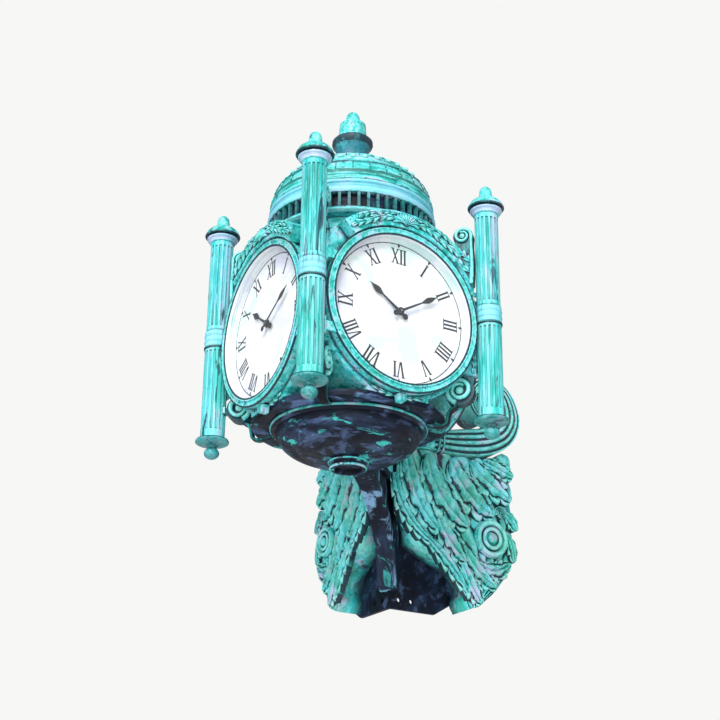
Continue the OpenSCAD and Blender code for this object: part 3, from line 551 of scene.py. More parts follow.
def leaf(build, place, a, b, c, width, lobes, lift, curl, base, thick, n, m, flip=False, sweep=0.5, deep=0.44,
         long=False):
    """An acanthus leaf that grows from a to c, pulled towards b, with pointed lobes that sweep forwards."""
    a, b, c = (np.array(q, float) for q in (a, b, c))
    t = np.linspace(0, 1, n + 1)[:, None]
    s = np.linspace(-1, 1, 2 * m + 1)[None, :]
    ctr = (1 - t)[..., None] ** 2 * a + 2 * (t * (1 - t))[..., None] * b + t[..., None] ** 2 * c
    tan = 2 * (1 - t)[..., None] * (b - a) + 2 * t[..., None] * (c - b)
    tan /= np.linalg.norm(tan, axis=-1, keepdims=True)
    nor = np.stack([-tan[..., 1], tan[..., 0]], -1)
    env = np.sin(pi * np.clip(t * 0.94 + 0.06, 0, 1) ** 0.85) ** 0.62
    saw = (t * lobes) % 1.0
    notch = np.where(saw < 0.8, (saw / 0.8) ** 0.6, ((1 - saw) / 0.2) ** 0.8)
    w = width * env * (1 - deep + deep * notch)
    ss = np.sign(s) * np.abs(s) ** 0.9
    xy = ctr + nor * (ss * w)[..., None] + tan * (sweep * w * np.abs(s) ** 1.7)[..., None]
    q = np.abs(s)
    fold = np.cos(2 * pi * (t * lobes - 0.35 * q - 0.35))
    if long:
        fold = np.cos(2 * pi * (1.7 * q - 0.45 - 0.10 * np.sin(2 * pi * t * lobes))) + 0 * t
    body = (1 - q ** 2.4) ** 0.8
    rib = np.exp(-(q / 0.09) ** 2)
    vein = 0.26 * fold * np.clip(q * 2.2, 0, 1) * (1 - q ** 4)
    swell = 0.30 + 0.62 * body + vein - 0.42 * rib * (t < 0.93)
    h = base + lift * env ** 0.5 * swell + curl * t ** 3.2 * (1 - 0.4 * q)
    # cav paints shade in the folds, the notches, the slits and round the edges; ridge paints highlights on the
    # fold crests.
    cav = 0.62 * (0.5 - 0.5 * fold) ** 1.6 * np.clip(q * 2.4, 0, 1) + 0.7 * rib * (1 - t) + 0.55 * (q > 0.97)
    cav = np.clip(cav + 0.45 * (1 - notch) * (q > 0.55), 0, 1)
    ridge = np.clip((0.5 + 0.5 * fold) ** 3 * (0.25 + q) * (q < 0.95), 0, 1) * 0.8
    if long:
        dash = 0.5 + 0.5 * np.cos(2 * pi * (t * lobes * 0.62 + 0.5 * np.floor(1.7 * q) + 0.3 * (s > 0)))
        slit = np.clip(2.8 * (0.5 - 0.5 * fold) ** 3 * dash ** 1.2 * (q > 0.12), 0, 1)
        h = h - lift * 0.20 * slit
        cav = np.clip(0.9 * slit + 0.7 * (1 - notch) ** 1.5 * (q > 0.62) + 0.5 * (q > 0.98), 0, 1)
    slab(build, over(place, xy, h), over(place, xy, 0 * h + base - thick), cav, ridge, flip)


def beside(line, across):
    """Points beside a line of (x, y, half width, ...), at the given fractions of its half width."""
    line = np.array(line, float)
    d = np.gradient(line[:, :2], axis=0)
    d /= np.linalg.norm(d, axis=1, keepdims=True)
    nor = np.stack([-d[:, 1], d[:, 0]], -1)
    return line[:, None, :2] + nor[:, None] * (line[:, 2:3] * across[None])[..., None]


def band(build, place, line, section, cav, back, flip, ridge):
    """A carved band along a line of (x, y, half width, height scale), with an (across, height) section."""
    line, sec = np.array(line, float), np.array(section, float)
    xy = beside(line, sec[:, 0])
    h = line[:, 3:4] * sec[None, :, 1]
    slab(build, over(place, xy, h), over(place, xy, 0 * h + back), cav, ridge, flip)


def smooth_line(points, n=8):
    """A smooth line through points of any number of values each."""
    p = np.array(points, float)
    p = np.concatenate([[2 * p[0] - p[1]], p, [2 * p[-1] - p[-2]]])
    out = []
    for i in range(1, len(p) - 2):
        a, b, c, d = p[i - 1:i + 3]
        for t in np.arange(n) / n:
            out.append(0.5 * (2 * b + (c - a) * t + (2 * a - 5 * b + 4 * c - d) * t * t
                              + (3 * b - a - 3 * c + d) * t ** 3))
    out.append(p[-2])
    return np.array(out)


def spiral_line(x, y, r0, r1, a0, a1, w0, w1, n=110, h0=1.0, h1=1.0):
    t = np.linspace(0, 1, n)
    a, r = np.radians(a0 + (a1 - a0) * t), r0 * (r1 / r0) ** t
    return np.stack([x + r * np.cos(a), y + r * np.sin(a), w0 + (w1 - w0) * t, h0 + (h1 - h0) * t], -1)


# Section of a rolled volute band: two beads with a hollow between them
ACROSS = np.linspace(-1, 1, 17)
ROLL_H = 0.72 + 0.28 * np.cos(pi * (np.abs(ACROSS) - 0.72) / 0.56) - 0.5 * (np.abs(ACROSS) > 0.99)
# ROLL_CAV paints shade in the hollow and at the edges.
ROLL_CAV = np.clip(0.85 * np.cos(pi * ACROSS * 0.75) ** 2 * (np.abs(ACROSS) < 0.66), 0, 1)
ROLL_CAV = np.maximum(ROLL_CAV, 0.9 * (np.abs(ACROSS) > 0.99))


# Section of a single round bead
ROUND_H = 0.62 + 0.38 * np.sqrt(1 - 0.98 * ACROSS ** 2)
# ROUND_CAV paints shade at the bead's edges and ROUND_RIDGE a highlight along its crest.
ROUND_CAV = 0.9 * np.clip(np.abs(ACROSS) * 1.02, 0, 1) ** 7
ROUND_RIDGE = 0.75 * (1 - ACROSS ** 2) ** 2


# ---- dials: track and Roman numerals

def prism(build, place, outline, h0, h1, cav=0.0):
    p = np.array(outline, float)
    if np.sum(p[:, 0] * np.roll(p[:, 1], -1) - p[:, 1] * np.roll(p[:, 0], -1)) < 0:
        p = p[::-1]
    n = len(p)
    top, low = place(p[:, 0], p[:, 1], np.full(n, h1)), place(p[:, 0], p[:, 1], np.full(n, h0))
    faces = [tuple(range(n)), tuple(range(2 * n - 1, n - 1, -1))]
    faces += [(i, i + n, (i + 1) % n + n, (i + 1) % n) for i in range(n)]
    build.add(np.concatenate([top, low]), faces, cav)


def turned(outline, angle, r=0.0):
    """An outline drawn at the top of the dial, moved out by r and turned clockwise by angle degrees."""
    p = np.array(outline, float)
    a = rad(angle)
    x, y = p[:, 0], p[:, 1] + r
    return np.stack([x * math.cos(a) + y * math.sin(a), -x * math.sin(a) + y * math.cos(a)], -1)


def stroke(x0, x1, w, y0=0.0, y1=1.0):
    return [(x0 - w / 2, y0), (x0 + w / 2, y0), (x1 + w / 2, y1), (x1 - w / 2, y1)]


def numeral(text, h):
    """Strokes of a Roman numeral h high, centred on x = 0."""
    wide = {"I": 0.25, "V": 0.56, "X": 0.60}
    thick, thin, serif = 0.125, 0.075, 0.055
    total = sum(wide[c] for c in text)
    squash = min(1.0, 1.12 / total)
    x = -total / 2
    parts = []
    for c in text:
        m = x + wide[c] / 2
        if c == "I":
            parts += [stroke(m, m, thick)]
            parts += [stroke(m, m, 0.23, 0, serif), stroke(m, m, 0.23, 1 - serif, 1)]
        elif c == "V":
            parts += [stroke(m - 0.02, m - 0.19, thick), stroke(m + 0.03, m + 0.20, thin)]
            parts += [stroke(m + q, m + q, w, 1 - serif, 1) for q, w in ((-0.19, 0.22), (0.20, 0.17))]
        else:
            parts += [stroke(m + 0.19, m - 0.19, thick), stroke(m - 0.19, m + 0.19, thin)]
            for y0, y1, a, b in ((0, serif, 0.17, 0.22), (1 - serif, 1, 0.22, 0.17)):
                parts += [stroke(m - 0.19, m - 0.19, a, y0, y1), stroke(m + 0.19, m + 0.19, b, y0, y1)]
        x += wide[c]
    return [[(px * h * squash, py * h) for px, py in q] for q in parts]


ROMAN = ["XII", "I", "II", "III", "IIII", "V", "VI", "VII", "VIII", "IX", "X", "XI"]
TRACK_R, TRACK_HALF = 0.5560, 0.0034      # the minute track's circle and half its width
NUMERAL_R, NUMERAL_H = 0.394, 0.124       # the numerals' lower ends and their height
INK_LOW, INK_HIGH = 0.0002, 0.0011        # where ink starts and ends above the dial
LOZENGE = [(-0.0110, 0.5455), (0, 0.5260), (0.0110, 0.5455), (0, 0.5650)]


def dial_marks(k):
    place = on_face(k, DIAL_W)
    b = Build()
    a = np.linspace(0, 2 * pi, 181)
    edges = np.array([TRACK_R - TRACK_HALF, TRACK_R + TRACK_HALF])
    x, y = np.cos(a)[:, None] * edges, np.sin(a)[:, None] * edges
    slab(b, place(x, y, 0 * x + INK_HIGH), place(x, y, 0 * x + INK_LOW), flip=True)
    for i in range(60):
        if i % 5:
            prism(b, place, turned(stroke(0, 0, 0.0048, 0.5480, 0.5555), 6 * i), INK_LOW, INK_HIGH)
        else:
            prism(b, place, turned(LOZENGE, 6 * i), INK_LOW, 0.0014)
            prism(b, place, turned(stroke(0, 0, 0.0066, 0.5270, 0.5640), 6 * i), INK_LOW, 0.0013)
    for i, text in enumerate(ROMAN):
        for j, part in enumerate(numeral(text, NUMERAL_H)):
            prism(b, place, turned(part, 30 * i, NUMERAL_R), INK_LOW, INK_HIGH + 0.00008 * j)
    b.piece("dial_marks_" + FACES[k], INK, "clock", "hand_black", smooth=30)


# ---- hands

def hand_outline(length, leaf_w, root, hub, tail):
    """A slim blade with a pointed leaf near its tip, a round hub and a short round tail."""
    right = [(root, 0.9 * hub), (root * 0.62, length * 0.52), (root * 0.60, length * 0.56),
             (leaf_w * 0.62, length * 0.63), (leaf_w * 0.95, length * 0.70), (leaf_w, length * 0.745),
             (leaf_w * 0.74, length * 0.82), (root * 0.70, length * 0.90), (root * 0.36, length * 0.95)]
    side = [(hub * math.sin(rad(a)), hub * math.cos(rad(a))) for a in range(30, 151, 15)]
    blob = hub * 0.78
    lobe = [(hub * 0.40, -hub * 0.98), (hub * 0.38, blob - tail)]
    lobe += [(blob * math.sin(rad(a)), blob * math.cos(rad(a)) - tail) for a in range(35, 181, 24)]
    lobe.append((0.0, -tail - blob))
    half = [(0.0, length)] + right[::-1] + side + lobe
    return half + [(-x, y) for x, y in half[-2:0:-1]]


def hand(k, kind, angle, length, leaf_w, root, hub, tail, w0, thick, body):
    """A flat hand, bevelled all round, with a ridge boss at its hub."""
    place = on_face(k, w0)
    b = Build()
    prism(b, place, turned(hand_outline(length, leaf_w, root, hub, tail), angle), 0.0, thick)
    b.piece(kind + "_hand_form_" + FACES[k], BLACK, body, "hand_black",
            replaces=(kind + "_hand_" + FACES[k],), bevel=0.0012, smooth=30)
    boss = Build()
    out = spot(place, 0, 0, 1) - spot(place, 0, 0, 0)
    dome_button(boss, spot(place, 0, 0, thick), out, hub * 0.62, 0.0045 if kind == "hour" else 0.007, 28)
    boss.piece(kind + "_hand_boss_" + FACES[k], BLACK, body, "hand_black", smooth=50)


# ---- volutes, stems, leaves on the faces

def strip(build, place, line, profile, cav, ridge=0.0):
    """A band along a line of (x, y, half width, half thickness), alike on both sides of its plane."""
    xy = beside(line, np.linspace(-1, 1, len(profile)))
    h = np.array(line, float)[:, 3:4] * np.asarray(profile)[None]
    slab(build, over(place, xy, h), over(place, xy, -h), cav, ridge, alike=True)


def roll(build, place, centre, r, a0, turn, half, stem=()):
    """A rolled scroll, alike on both sides: a spiral band with two beads, over a dished disc with a boss."""
    x, y = centre
    w = r * 0.185
    line = spiral_line(x, y, r - w, r * 0.36, a0, a0 + turn, w, w * 0.62, 130, half * 0.93, half)
    if len(stem):
        line = np.concatenate([smooth_line(list(stem) + [tuple(line[0])], 9)[:-1], line])
    strip(build, place, line, ROUND_H, ROUND_CAV, ROUND_RIDGE)
    n = 48
    a = np.linspace(0, 2 * pi, n, endpoint=False)
    rr = np.array([0.001, 0.3, 0.6, 0.85, 0.9])[None] * r
    X, Y = x + rr * np.cos(a)[:, None], y + rr * np.sin(a)[:, None]
    hh = half * (0.55 - 0.1 * rr / r) + 0 * X
    k = 5
    f = grid_faces(n, k, 0, close_u=True) + grid_faces(n, k, n * k, True, close_u=True)
    ring = [i * k + k - 1 for i in range(n)]
    f += [(ring[i], ring[i] + n * k, ring[(i + 1) % n] + n * k, ring[(i + 1) % n]) for i in range(n)]
    f += [tuple(i * k for i in range(n - 1, -1, -1)), tuple(i * k + n * k for i in range(n))]
    # The dished disc gets cav 0.85, painted shade between the turns; the bosses get ridge 0.8, a painted
    # highlight.
    build.add(np.concatenate([place(X, Y, hh).reshape(-1, 3), place(X, Y, -hh).reshape(-1, 3)]), f, 0.85)
    out = spot(place, x, y, 1) - spot(place, x, y, 0)
    for s in (1, -1):
        dome_button(build, spot(place, x, y, s * half * 0.60), s * out, r * 0.26, half * 0.42, 32, ridge=0.8)


CORNER_STRAP = [
    (0.832, -0.590, 0.012, 0.040), (0.783, -0.622, 0.013, 0.040), (0.767, -0.672, 0.013, 0.040),
    (0.756, -0.718, 0.012, 0.038), (0.712, -0.737, 0.011, 0.036), (0.654, -0.731, 0.010, 0.034),
    (0.604, -0.718, 0.008, 0.030)]
UPPER_STEM = [(0.966, 0.400, 0.018, 0.056), (0.974, 0.520, 0.016, 0.058), (0.975, 0.640, 0.014, 0.060),
              (0.972, 0.740, 0.012, 0.060)]
UPPER_WEB = [(0.966, 0.372), (0.966, 0.790), (0.850, 0.780), (0.846, 0.735), (0.838, 0.700), (0.820, 0.665),
             (0.792, 0.640), (0.760, 0.620), (0.728, 0.600), (0.704, 0.606)]
# Leaves on the upper consoles: root, pull, tip and half width
UPPER_LEAVES = [((0.955, 0.42), (0.86, 0.50), (0.74, 0.615), 0.040),
                ((0.955, 0.50), (0.89, 0.57), (0.80, 0.655), 0.036),
                ((0.958, 0.58), (0.92, 0.66), (0.858, 0.715), 0.030)]


def consoles():
    """Rolled scrolls on the body's diagonals: in the niches below, and on the roof's corners above."""
    low, high, leaves, straps = Build(), Build(), Build(), Build()
    for k in range(4):
        place = on_diagonal(k)
        roll(low, place, (0.862, -0.478), 0.122, -110, -560, 0.084)
        if k != 2:
            strip(straps, place, smooth_line(CORNER_STRAP, 8), ROUND_H, ROUND_CAV, 0.5 * ROUND_RIDGE)
        roll(high, place, (0.905, 0.815), 0.084, 0, 480, 0.064, UPPER_STEM)
        # the web's lower edge follows the roof vault
        vault = [(t, math.sqrt(0.7845 ** 2 - t * t / 2) + 0.001) for t in np.linspace(0.720, 0.955, 12)]
        prism(high, place, UPPER_WEB + vault, -0.032, 0.032, 0.55)
        for s in (1, -1):
            for a, m, c, w in UPPER_LEAVES:
                leaf(leaves, lambda x, y, h: place(x, y, s * h), a, m, c, w, 3, 0.016, 0.010,
                     0.032, 0.006, 30, 6, flip=s > 0)
    straps.piece("lower_roll_straps", DARK_ARM, "clock", "dark_bronze", smooth=50)
    low.piece("lower_rolls", PATINA_ROLL, replaces=("lower_scrolls",), smooth=50)
    high.piece("upper_rolls", PATINA_ROLL, replaces=("upper_scrolls",), smooth=50)
    leaves.piece("upper_roll_leaves", PATINA_CARVED, smooth=50)


# Leaves on a hood: angles from the crown and radii of root and tip, and half width
HOOD_LEAVES = [(3, 19, 0.690, 0.722, 0.030), (13, 30, 0.716, 0.700, 0.034), (25, 41.5, 0.690, 0.716, 0.030),
               (6, 20, 0.752, 0.748, 0.020), (20, 34, 0.758, 0.742, 0.020)]


def face_ornament(k):
    """Everything carved on one face: hood leaves, a shell, leaves beside the bezel and keystone ribs."""
    b = Build()
    place = on_face(k, HOOD_W - 0.002)

    def around(deg, r):
        return (r * math.sin(rad(deg)), r * math.cos(rad(deg)))
    for s in (1, -1):
        for a0, a1, r0, r1, w in HOOD_LEAVES:
            pull = around(s * (a0 + a1) / 2, (r0 + r1) / 2 + 0.020)
            leaf(b, place, around(s * a0, r0), pull, around(s * a1, r1), w, 3, 0.026, 0.012, 0.0, 0.010, 48, 8,
                 sweep=0.8, deep=0.30)
    # a shell at the crown
    for i in range(-3, 4):
        a = rad(i * 15)
        root = np.array([0.0, 0.668])
        tip = root + 0.108 * np.array([math.sin(a) * 1.2, math.cos(a)])
        leaf(b, place, root, (root + tip) / 2, tip, 0.019, 1, 0.024, 0.010, 0.004, 0.012, 24, 5, sweep=0.1)
    b.piece("hood_leaves_" + FACES[k], PATINA_CARVED, smooth=50)
    b = Build()
    place = on_face(k, PANEL_W - 0.004)
    for s in (1, -1):
        a, m, c = ((s * x, -y) for x, y in (around(4, 0.667), around(12, 0.684), around(21, 0.664)))
        leaf(b, place, a, m, c, 0.016, 3, 0.026, 0.012, 0.0, 0.008, 36, 7, sweep=0.6, deep=0.3)
        for a, m, c in (((0.655, -0.345), (0.678, -0.250), (0.670, -0.130)),
                        ((0.672, 0.140), (0.680, 0.250), (0.655, 0.335))):
            leaf(b, place, *((s * x, y) for x, y in (a, m, c)), 0.018, 4, 0.022, 0.012, 0.0, 0.002, 44, 6)
    for i in range(5):
        x = -0.0225 + 0.01125 * i
        rib = [(x * 1.25 - 0.0032, -0.660), (x * 1.25 + 0.0032, -0.660), (x + 0.0026, -0.712),
               (x - 0.0026, -0.712)]
        prism(b, place, rib, 0.060, 0.072)
    b.piece("corner_leaves_" + FACES[k], PATINA_CARVED, smooth=50)


def ring_wall(build, place, inner, outer, low, high, n=180, cav=0.0):
    """A flat ring between two radii and two heights above a face."""
    a = np.linspace(0, 2 * pi, n, endpoint=False)[:, None]
    r = np.array([[inner, outer, outer, inner]])
    h = np.array([[high, high, low, low]]) + 0 * a
    faces = grid_faces(n, 4, close_u=True, close_v=True, flip=True)
    build.add(place(r * np.sin(a), r * np.cos(a), h), faces, cav)


def reveals(k):
    """White enamelled rings that line the reveal between the dial and the lip of the door ring."""
    place = on_face(k, 0)
    b = Build()
    ring_wall(b, place, 0.5955, 0.5990, DIAL_W + 0.0006, 0.7335)
    b.piece("dial_reveal_" + FACES[k], DIAL, "clock", "dial_white", smooth=60)
    b = Build()
    ring_wall(b, place, 0.5955, 0.5990, 0.7365, 0.7558)
    ring_wall(b, place, 0.5795, 0.5846, 0.7636, BEZEL_W - 0.0060)
    b.piece("glass_ring_" + FACES[k], DIAL, "door_" + FACES[k], "dial_white", smooth=60)


def bezel_trim(k):
    """A rope moulding and a bead moulding round the door ring."""
    b = Build()
    place = on_face(k, BEZEL_W)
    n, m = 360, 8
    a = np.linspace(0, 2 * pi, n, endpoint=False)[:, None]
    c = np.linspace(0, 2 * pi, m, endpoint=False)[None]
    for r0, r1, h0, twist in ((0.636, 0.0075, -0.010, 72), (0.602, 0.0060, -0.002, 0)):
        r = r1 * (1 + 0.16 * np.cos(c * 2 - a * twist)) if twist else r1 * (1 + 0.22 * np.cos(a * 90)) + 0 * c
        R = r0 + r * np.cos(c)
        p = place(R * np.sin(a), R * np.cos(a), h0 + r * np.sin(c))
        # cav paints shade in the rope's twists and the bead's dents; ridge 0.3 paints a faint highlight all over.
        b.add(p, grid_faces(n, m, close_u=True, close_v=True),
              0.32 * (0.5 - 0.5 * np.cos(a * twist - 2 * c if twist else a * 90 + 0 * c)), 0.3)
    for inner, outer, low, high in ((0.5835, 0.5955, -0.008, 0.0012), (0.6455, 0.6535, -0.020, -0.006)):
        ring_wall(b, place, inner, outer, low, high, n, 1.0)
    b.piece("bezel_trim_" + FACES[k], PATINA_FACE, "door_" + FACES[k], "verdigris", smooth=60)


for k in range(4):
    dial_marks(k)
    face_ornament(k)
    bezel_trim(k)
    reveals(k)
    f = FACES[k]
    hand(k, "hour", 305, 0.318, 0.027, 0.0120, 0.031, 0.056, 0.7192, 0.0045, "hour_" + f)
    hand(k, "minute", 60, 0.383, 0.023, 0.0100, 0.027, 0.054, 0.7372, 0.0045, "minute_" + f)
consoles()


# ---- bracket: big scrolls and leaf wings

SCROLL = np.array([
    (60, -331, 94), (180, -332, 96), (300, -331, 99), (440, -318, 112), (580, -297, 124), (720, -270, 126),
    (850, -226, 125), (960, -160, 122), (1025, -75, 118), (1049, 20, 114), (1030, 120, 104), (985, 205, 92),
    (910, 262, 78), (820, 278, 66), (735, 252, 56), (675, 192, 49), (653, 115, 44), (672, 35, 40), (728, -20, 36),
    (800, -28, 32), (858, 10, 28), (878, 75, 24), (850, 138, 20)]) / 1000
REACH = {"right": 1.0, "left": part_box("wing_left")[1].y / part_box("wing_right")[1].x}
DEPTH = -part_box("scroll_right")[0].y
WING_D = 0.270 + WALL_GAP


def big_scroll(side):
    """The bracket's ribbed S-scroll with its eye and the collar at its root."""
    reach = REACH[side]
    place = on_wall(side, reach)
    k = 0.35 + 0.65 * reach
    line = smooth_line(SCROLL, 6)
    line = np.column_stack([line[:, 0], line[:, 1], line[:, 2] * k * 0.99, np.ones(len(line))])
    x = np.linspace(-1, 1, 61)
    ribs = 4.5
    wave = 0.5 + 0.5 * np.cos(2 * pi * ribs * (x + 1) / 2)
    h = DEPTH - 0.052 + 0.034 * (1 - x ** 2) + 0.018 * wave ** 0.6
    h[[0, -1]] -= 0.03
    # cav paints shade in the rib valleys, ridge a highlight on the rib crests.
    cav = np.clip((1 - wave) ** 1.5 * 0.95, 0, 1)
    b = Build()
    flip = side == "left"
    band(b, place, line, np.stack([x, h], -1), cav, WALL_GAP, flip=flip, ridge=0.5 * wave ** 3)
    eye = spot(place, 0.780, 0.070, DEPTH - 0.035)
    out = (0, -1, 0) if side == "right" else (-1, 0, 0)
    dome_button(b, eye, out, 0.088 * (0.3 + 0.7 * reach), 0.040, 48, ring=True)
    # the collar that ties the band where it leaves the corner
    for x0 in (0.285, 0.330):
        a = np.linspace(-1, 1, 25)
        hh = DEPTH - 0.040 + 0.048 * (1 - a ** 2) ** 0.5
        X = np.stack([x0 + 0 * a - 0.013, x0 + 0 * a, x0 + 0 * a + 0.013], 0)
        Y = np.stack([-0.331 + 0.106 * k * a] * 3, 0)
        H = np.stack([hh - 0.010, hh, hh - 0.010], 0)
        slab(b, place(X, Y, H), place(X, Y, 0 * H + WALL_GAP), np.array([[0.8], [0.0], [0.8]]), 0.2, flip)
    b.piece("scroll_form_" + side, PATINA_CARVED, replaces=("scroll_" + side,),
            smooth=55)


WING = np.array([
    (-200, -640), (-200, -470), (0, -440), (290, -444), (560, -436), (740, -412), (900, -368), (1010, -300),
    (1085, -330), (1096, -430), (1072, -540), (1100, -640), (1076, -760), (1100, -880), (1084, -990),
    (1100, -1110), (1060, -1220), (1040, -1350), (960, -1470), (860, -1580), (720, -1690), (600, -1740),
    (560, -1660), (590, -1560), (540, -1450), (440, -1388), (285, -1325), (150, -1262), (40, -1185),
    (-40, -1110), (-110, -1010), (-160, -900), (-200, -800)]) / 1000


# Leaves on a wing: root, pull, tip, half width, lobes, lift, curl, height, sweep, steps and depth of the lobes
WING_LEAVES = [
    # along the flaring inner edge
    ((-0.150, -0.500), (-0.170, -1.080), (0.300, -1.262), 0.085, 9, 0.055, 0.016, 0.004, 0.9, 120, 0.34),
    ((0.180, -1.200), (0.380, -1.330), (0.610, -1.660), 0.085, 6, 0.050, 0.016, 0.008, 0.8, 80, 0.26),
    # fanned out from under the scroll
    ((-0.020, -0.480), (0.020, -0.880), (0.300, -1.130), 0.150, 5, 0.060, 0.020, 0.004, 0.9, 80, 0.26),
    ((0.180, -0.470), (0.240, -0.820), (0.580, -1.060), 0.180, 5, 0.070, 0.030, 0.010, 0.9, 80, 0.26),
    ((0.420, -0.470), (0.520, -0.760), (0.840, -0.930), 0.170, 5, 0.070, 0.040, 0.014, 0.8, 70, 0.26),
    ((0.620, -0.460), (0.780, -0.620), (1.030, -0.760), 0.140, 4, 0.062, 0.040, 0.012, 0.8, 60, 0.26),
    ((0.760, -0.430), (0.930, -0.480), (1.060, -0.540), 0.100, 4, 0.052, 0.036, 0.010, 0.7, 60, 0.26),
    ((0.290, -0.990), (0.360, -1.180), (0.560, -1.360), 0.130, 5, 0.060, 0.02, 0.012, 0.8, 60, 0.26),
    # round the rosette and down to the foot
    ((0.640, -1.330), (0.830, -1.460), (1.010, -1.300), 0.100, 4, 0.054, 0.03, 0.010, 0.8, 60, 0.26),
    ((0.560, -1.240), (0.640, -1.420), (0.860, -1.540), 0.110, 5, 0.056, 0.028, 0.012, 0.8, 60, 0.26),
    ((0.520, -1.360), (0.600, -1.560), (0.700, -1.690), 0.100, 5, 0.056, 0.024, 0.012, 0.8, 60, 0.26),
    ((0.960, -0.860), (1.040, -0.900), (1.085, -1.010), 0.070, 3, 0.046, 0.03, 0.010, 0.7, 60, 0.26),
    ((1.000, -1.060), (1.060, -1.150), (1.050, -1.290), 0.060, 3, 0.046, 0.03, 0.006, 0.7, 60, 0.26),
]


def clear_of_arm(place, side):
    """Keeps a wing's points beside the diagonal arm and off the rear column."""
    half = 0.0815 * math.sqrt(2)
    cx, r = AX + 0.770, 0.127

    def inner(x, y, h):
        p = place(x, y, h)
        flat = p.reshape(-1, 3)
        i, j = (0, 1) if side == "right" else (1, 0)
        flat[:, i] = np.maximum(flat[:, i], flat[:, j] + half)
        near = (flat[:, 2] > AZ - 0.703) & (np.abs(flat[:, j] - cx) < r)
        gap = cx + np.sqrt(np.maximum(r ** 2 - (flat[:, j] - cx) ** 2, 0))
        flat[:, i] = np.where(near, np.maximum(flat[:, i], gap), flat[:, i])
        return p
    return inner


def wing(side):
    """A wing: a furrowed sheet with overlapping leaves, a small curl and a rosette."""
    reach = REACH[side]
    place = clear_of_arm(on_wall(side, reach), side)
    flip = side == "left"
    b = Build()
    inner = smooth_line(WING[[1, 0, *range(32, 20, -1)]], 6)
    outer = smooth_line(WING[7:21], 6)
    top = smooth_line(WING[1:8], 8)
    nv, nu = 90, 60

    def resample(line, n):
        d = np.concatenate([[0], np.cumsum(np.hypot(*np.diff(line, axis=0).T))])
        q = np.linspace(0, d[-1], n)
        return np.stack([np.interp(q, d, line[:, 0]), np.interp(q, d, line[:, 1])], -1)
    inner, outer, top = resample(inner, nv), resample(outer, nv), resample(top, nu)
    u, v = np.linspace(0, 1, nu)[None, :, None], np.linspace(0, 1, nv)[:, None, None]
    straight = inner[0] * (1 - u) + outer[0] * u
    xy = inner[:, None] * (1 - u) + outer[:, None] * u + (top[None] - straight) * (1 - v)
    U, V = u[..., 0] + 0 * v[..., 0], v[..., 0] + 0 * u[..., 0]
    edge = np.clip(np.minimum.reduce([U, 1 - U]) * 9, 0, 1) ** 0.6
    flow = 8.5 * U + 1.3 * V + 0.25 * np.sin(2 * pi * (2.3 * V + U))
    furrow = 0.5 + 0.5 * np.cos(2 * pi * flow)
    dash = 0.5 + 0.5 * np.cos(2 * pi * (6.0 * V + 0.5 * np.floor(flow + 0.5)))
    slit = np.clip((1 - furrow) ** 2.5 * dash ** 1.2 * 1.5, 0, 1) * edge
    h = WING_D - 0.052 + 0.030 * np.sin(pi * U) ** 0.8 * edge - 0.02 * (1 - edge)
    h = h + (0.020 * furrow - 0.014 * slit) * edge
    back = over(place, xy, 0 * h + WALL_GAP)
    # The slits get cav, painted shade in the furrows, and the furrow crests get ridge, a painted highlight.
    slab(b, over(place, xy, h), back, 0.10 + 0.86 * slit, 0.6 * furrow ** 4, not flip)
    f = WING_D - 0.040

    for a, m, c, w, lobes, lift, curl, base, sweep, n, deep in WING_LEAVES:
        leaf(b, place, a, m, c, w, lobes, lift, curl, f + base, 0.03, n, 10, flip, sweep, deep, long=True)
    # small curls and the rosette
    size = 0.4 + 0.6 * reach
    out = (0, -1, 0) if side == "right" else (-1, 0, 0)
    r = 0.062
    line = spiral_line(0.915, -0.885, r, r * 0.25, 200, -360, r * 0.22 * size, r * 0.12 * size, 90)
    band(b, place, line, np.stack([ACROSS, f + 0.02 + 0.055 * ROLL_H], -1), ROLL_CAV, f - 0.02, flip, 0.4)
    rx, ry = 0.820, -1.118
    dome_button(b, spot(place, rx, ry, f + 0.018), out, 0.168 * size, 0.050, 64, ring=True)
    for r0, w0 in ((0.138, 0.024), (0.082, 0.020)):
        t = np.linspace(0, 2 * pi, 81)
        wide = size / max(reach, 0.4)
        x, y = rx + r0 * wide * np.cos(t), ry + r0 * size * np.sin(t)
        line = np.stack([x, y, 0 * t + w0 * size, 0 * t + 1], -1)
        band(b, place, line, np.stack([ACROSS, f + 0.045 + 0.030 * np.sqrt(1 - 0.98 * ACROSS ** 2)], -1),
             np.clip(np.abs(ACROSS) ** 6, 0, 1), f, flip=flip, ridge=0.7 * (1 - ACROSS ** 2))
    dome_button(b, spot(place, rx, ry, f + 0.060), out, 0.050 * size, 0.030, 32)
    b.piece("wing_form_" + side, PATINA_WING, replaces=("wing_" + side,), smooth=60)


for side in ("right", "left"):
    big_scroll(side)
    wing(side)


# ---- dome, drum, bowl

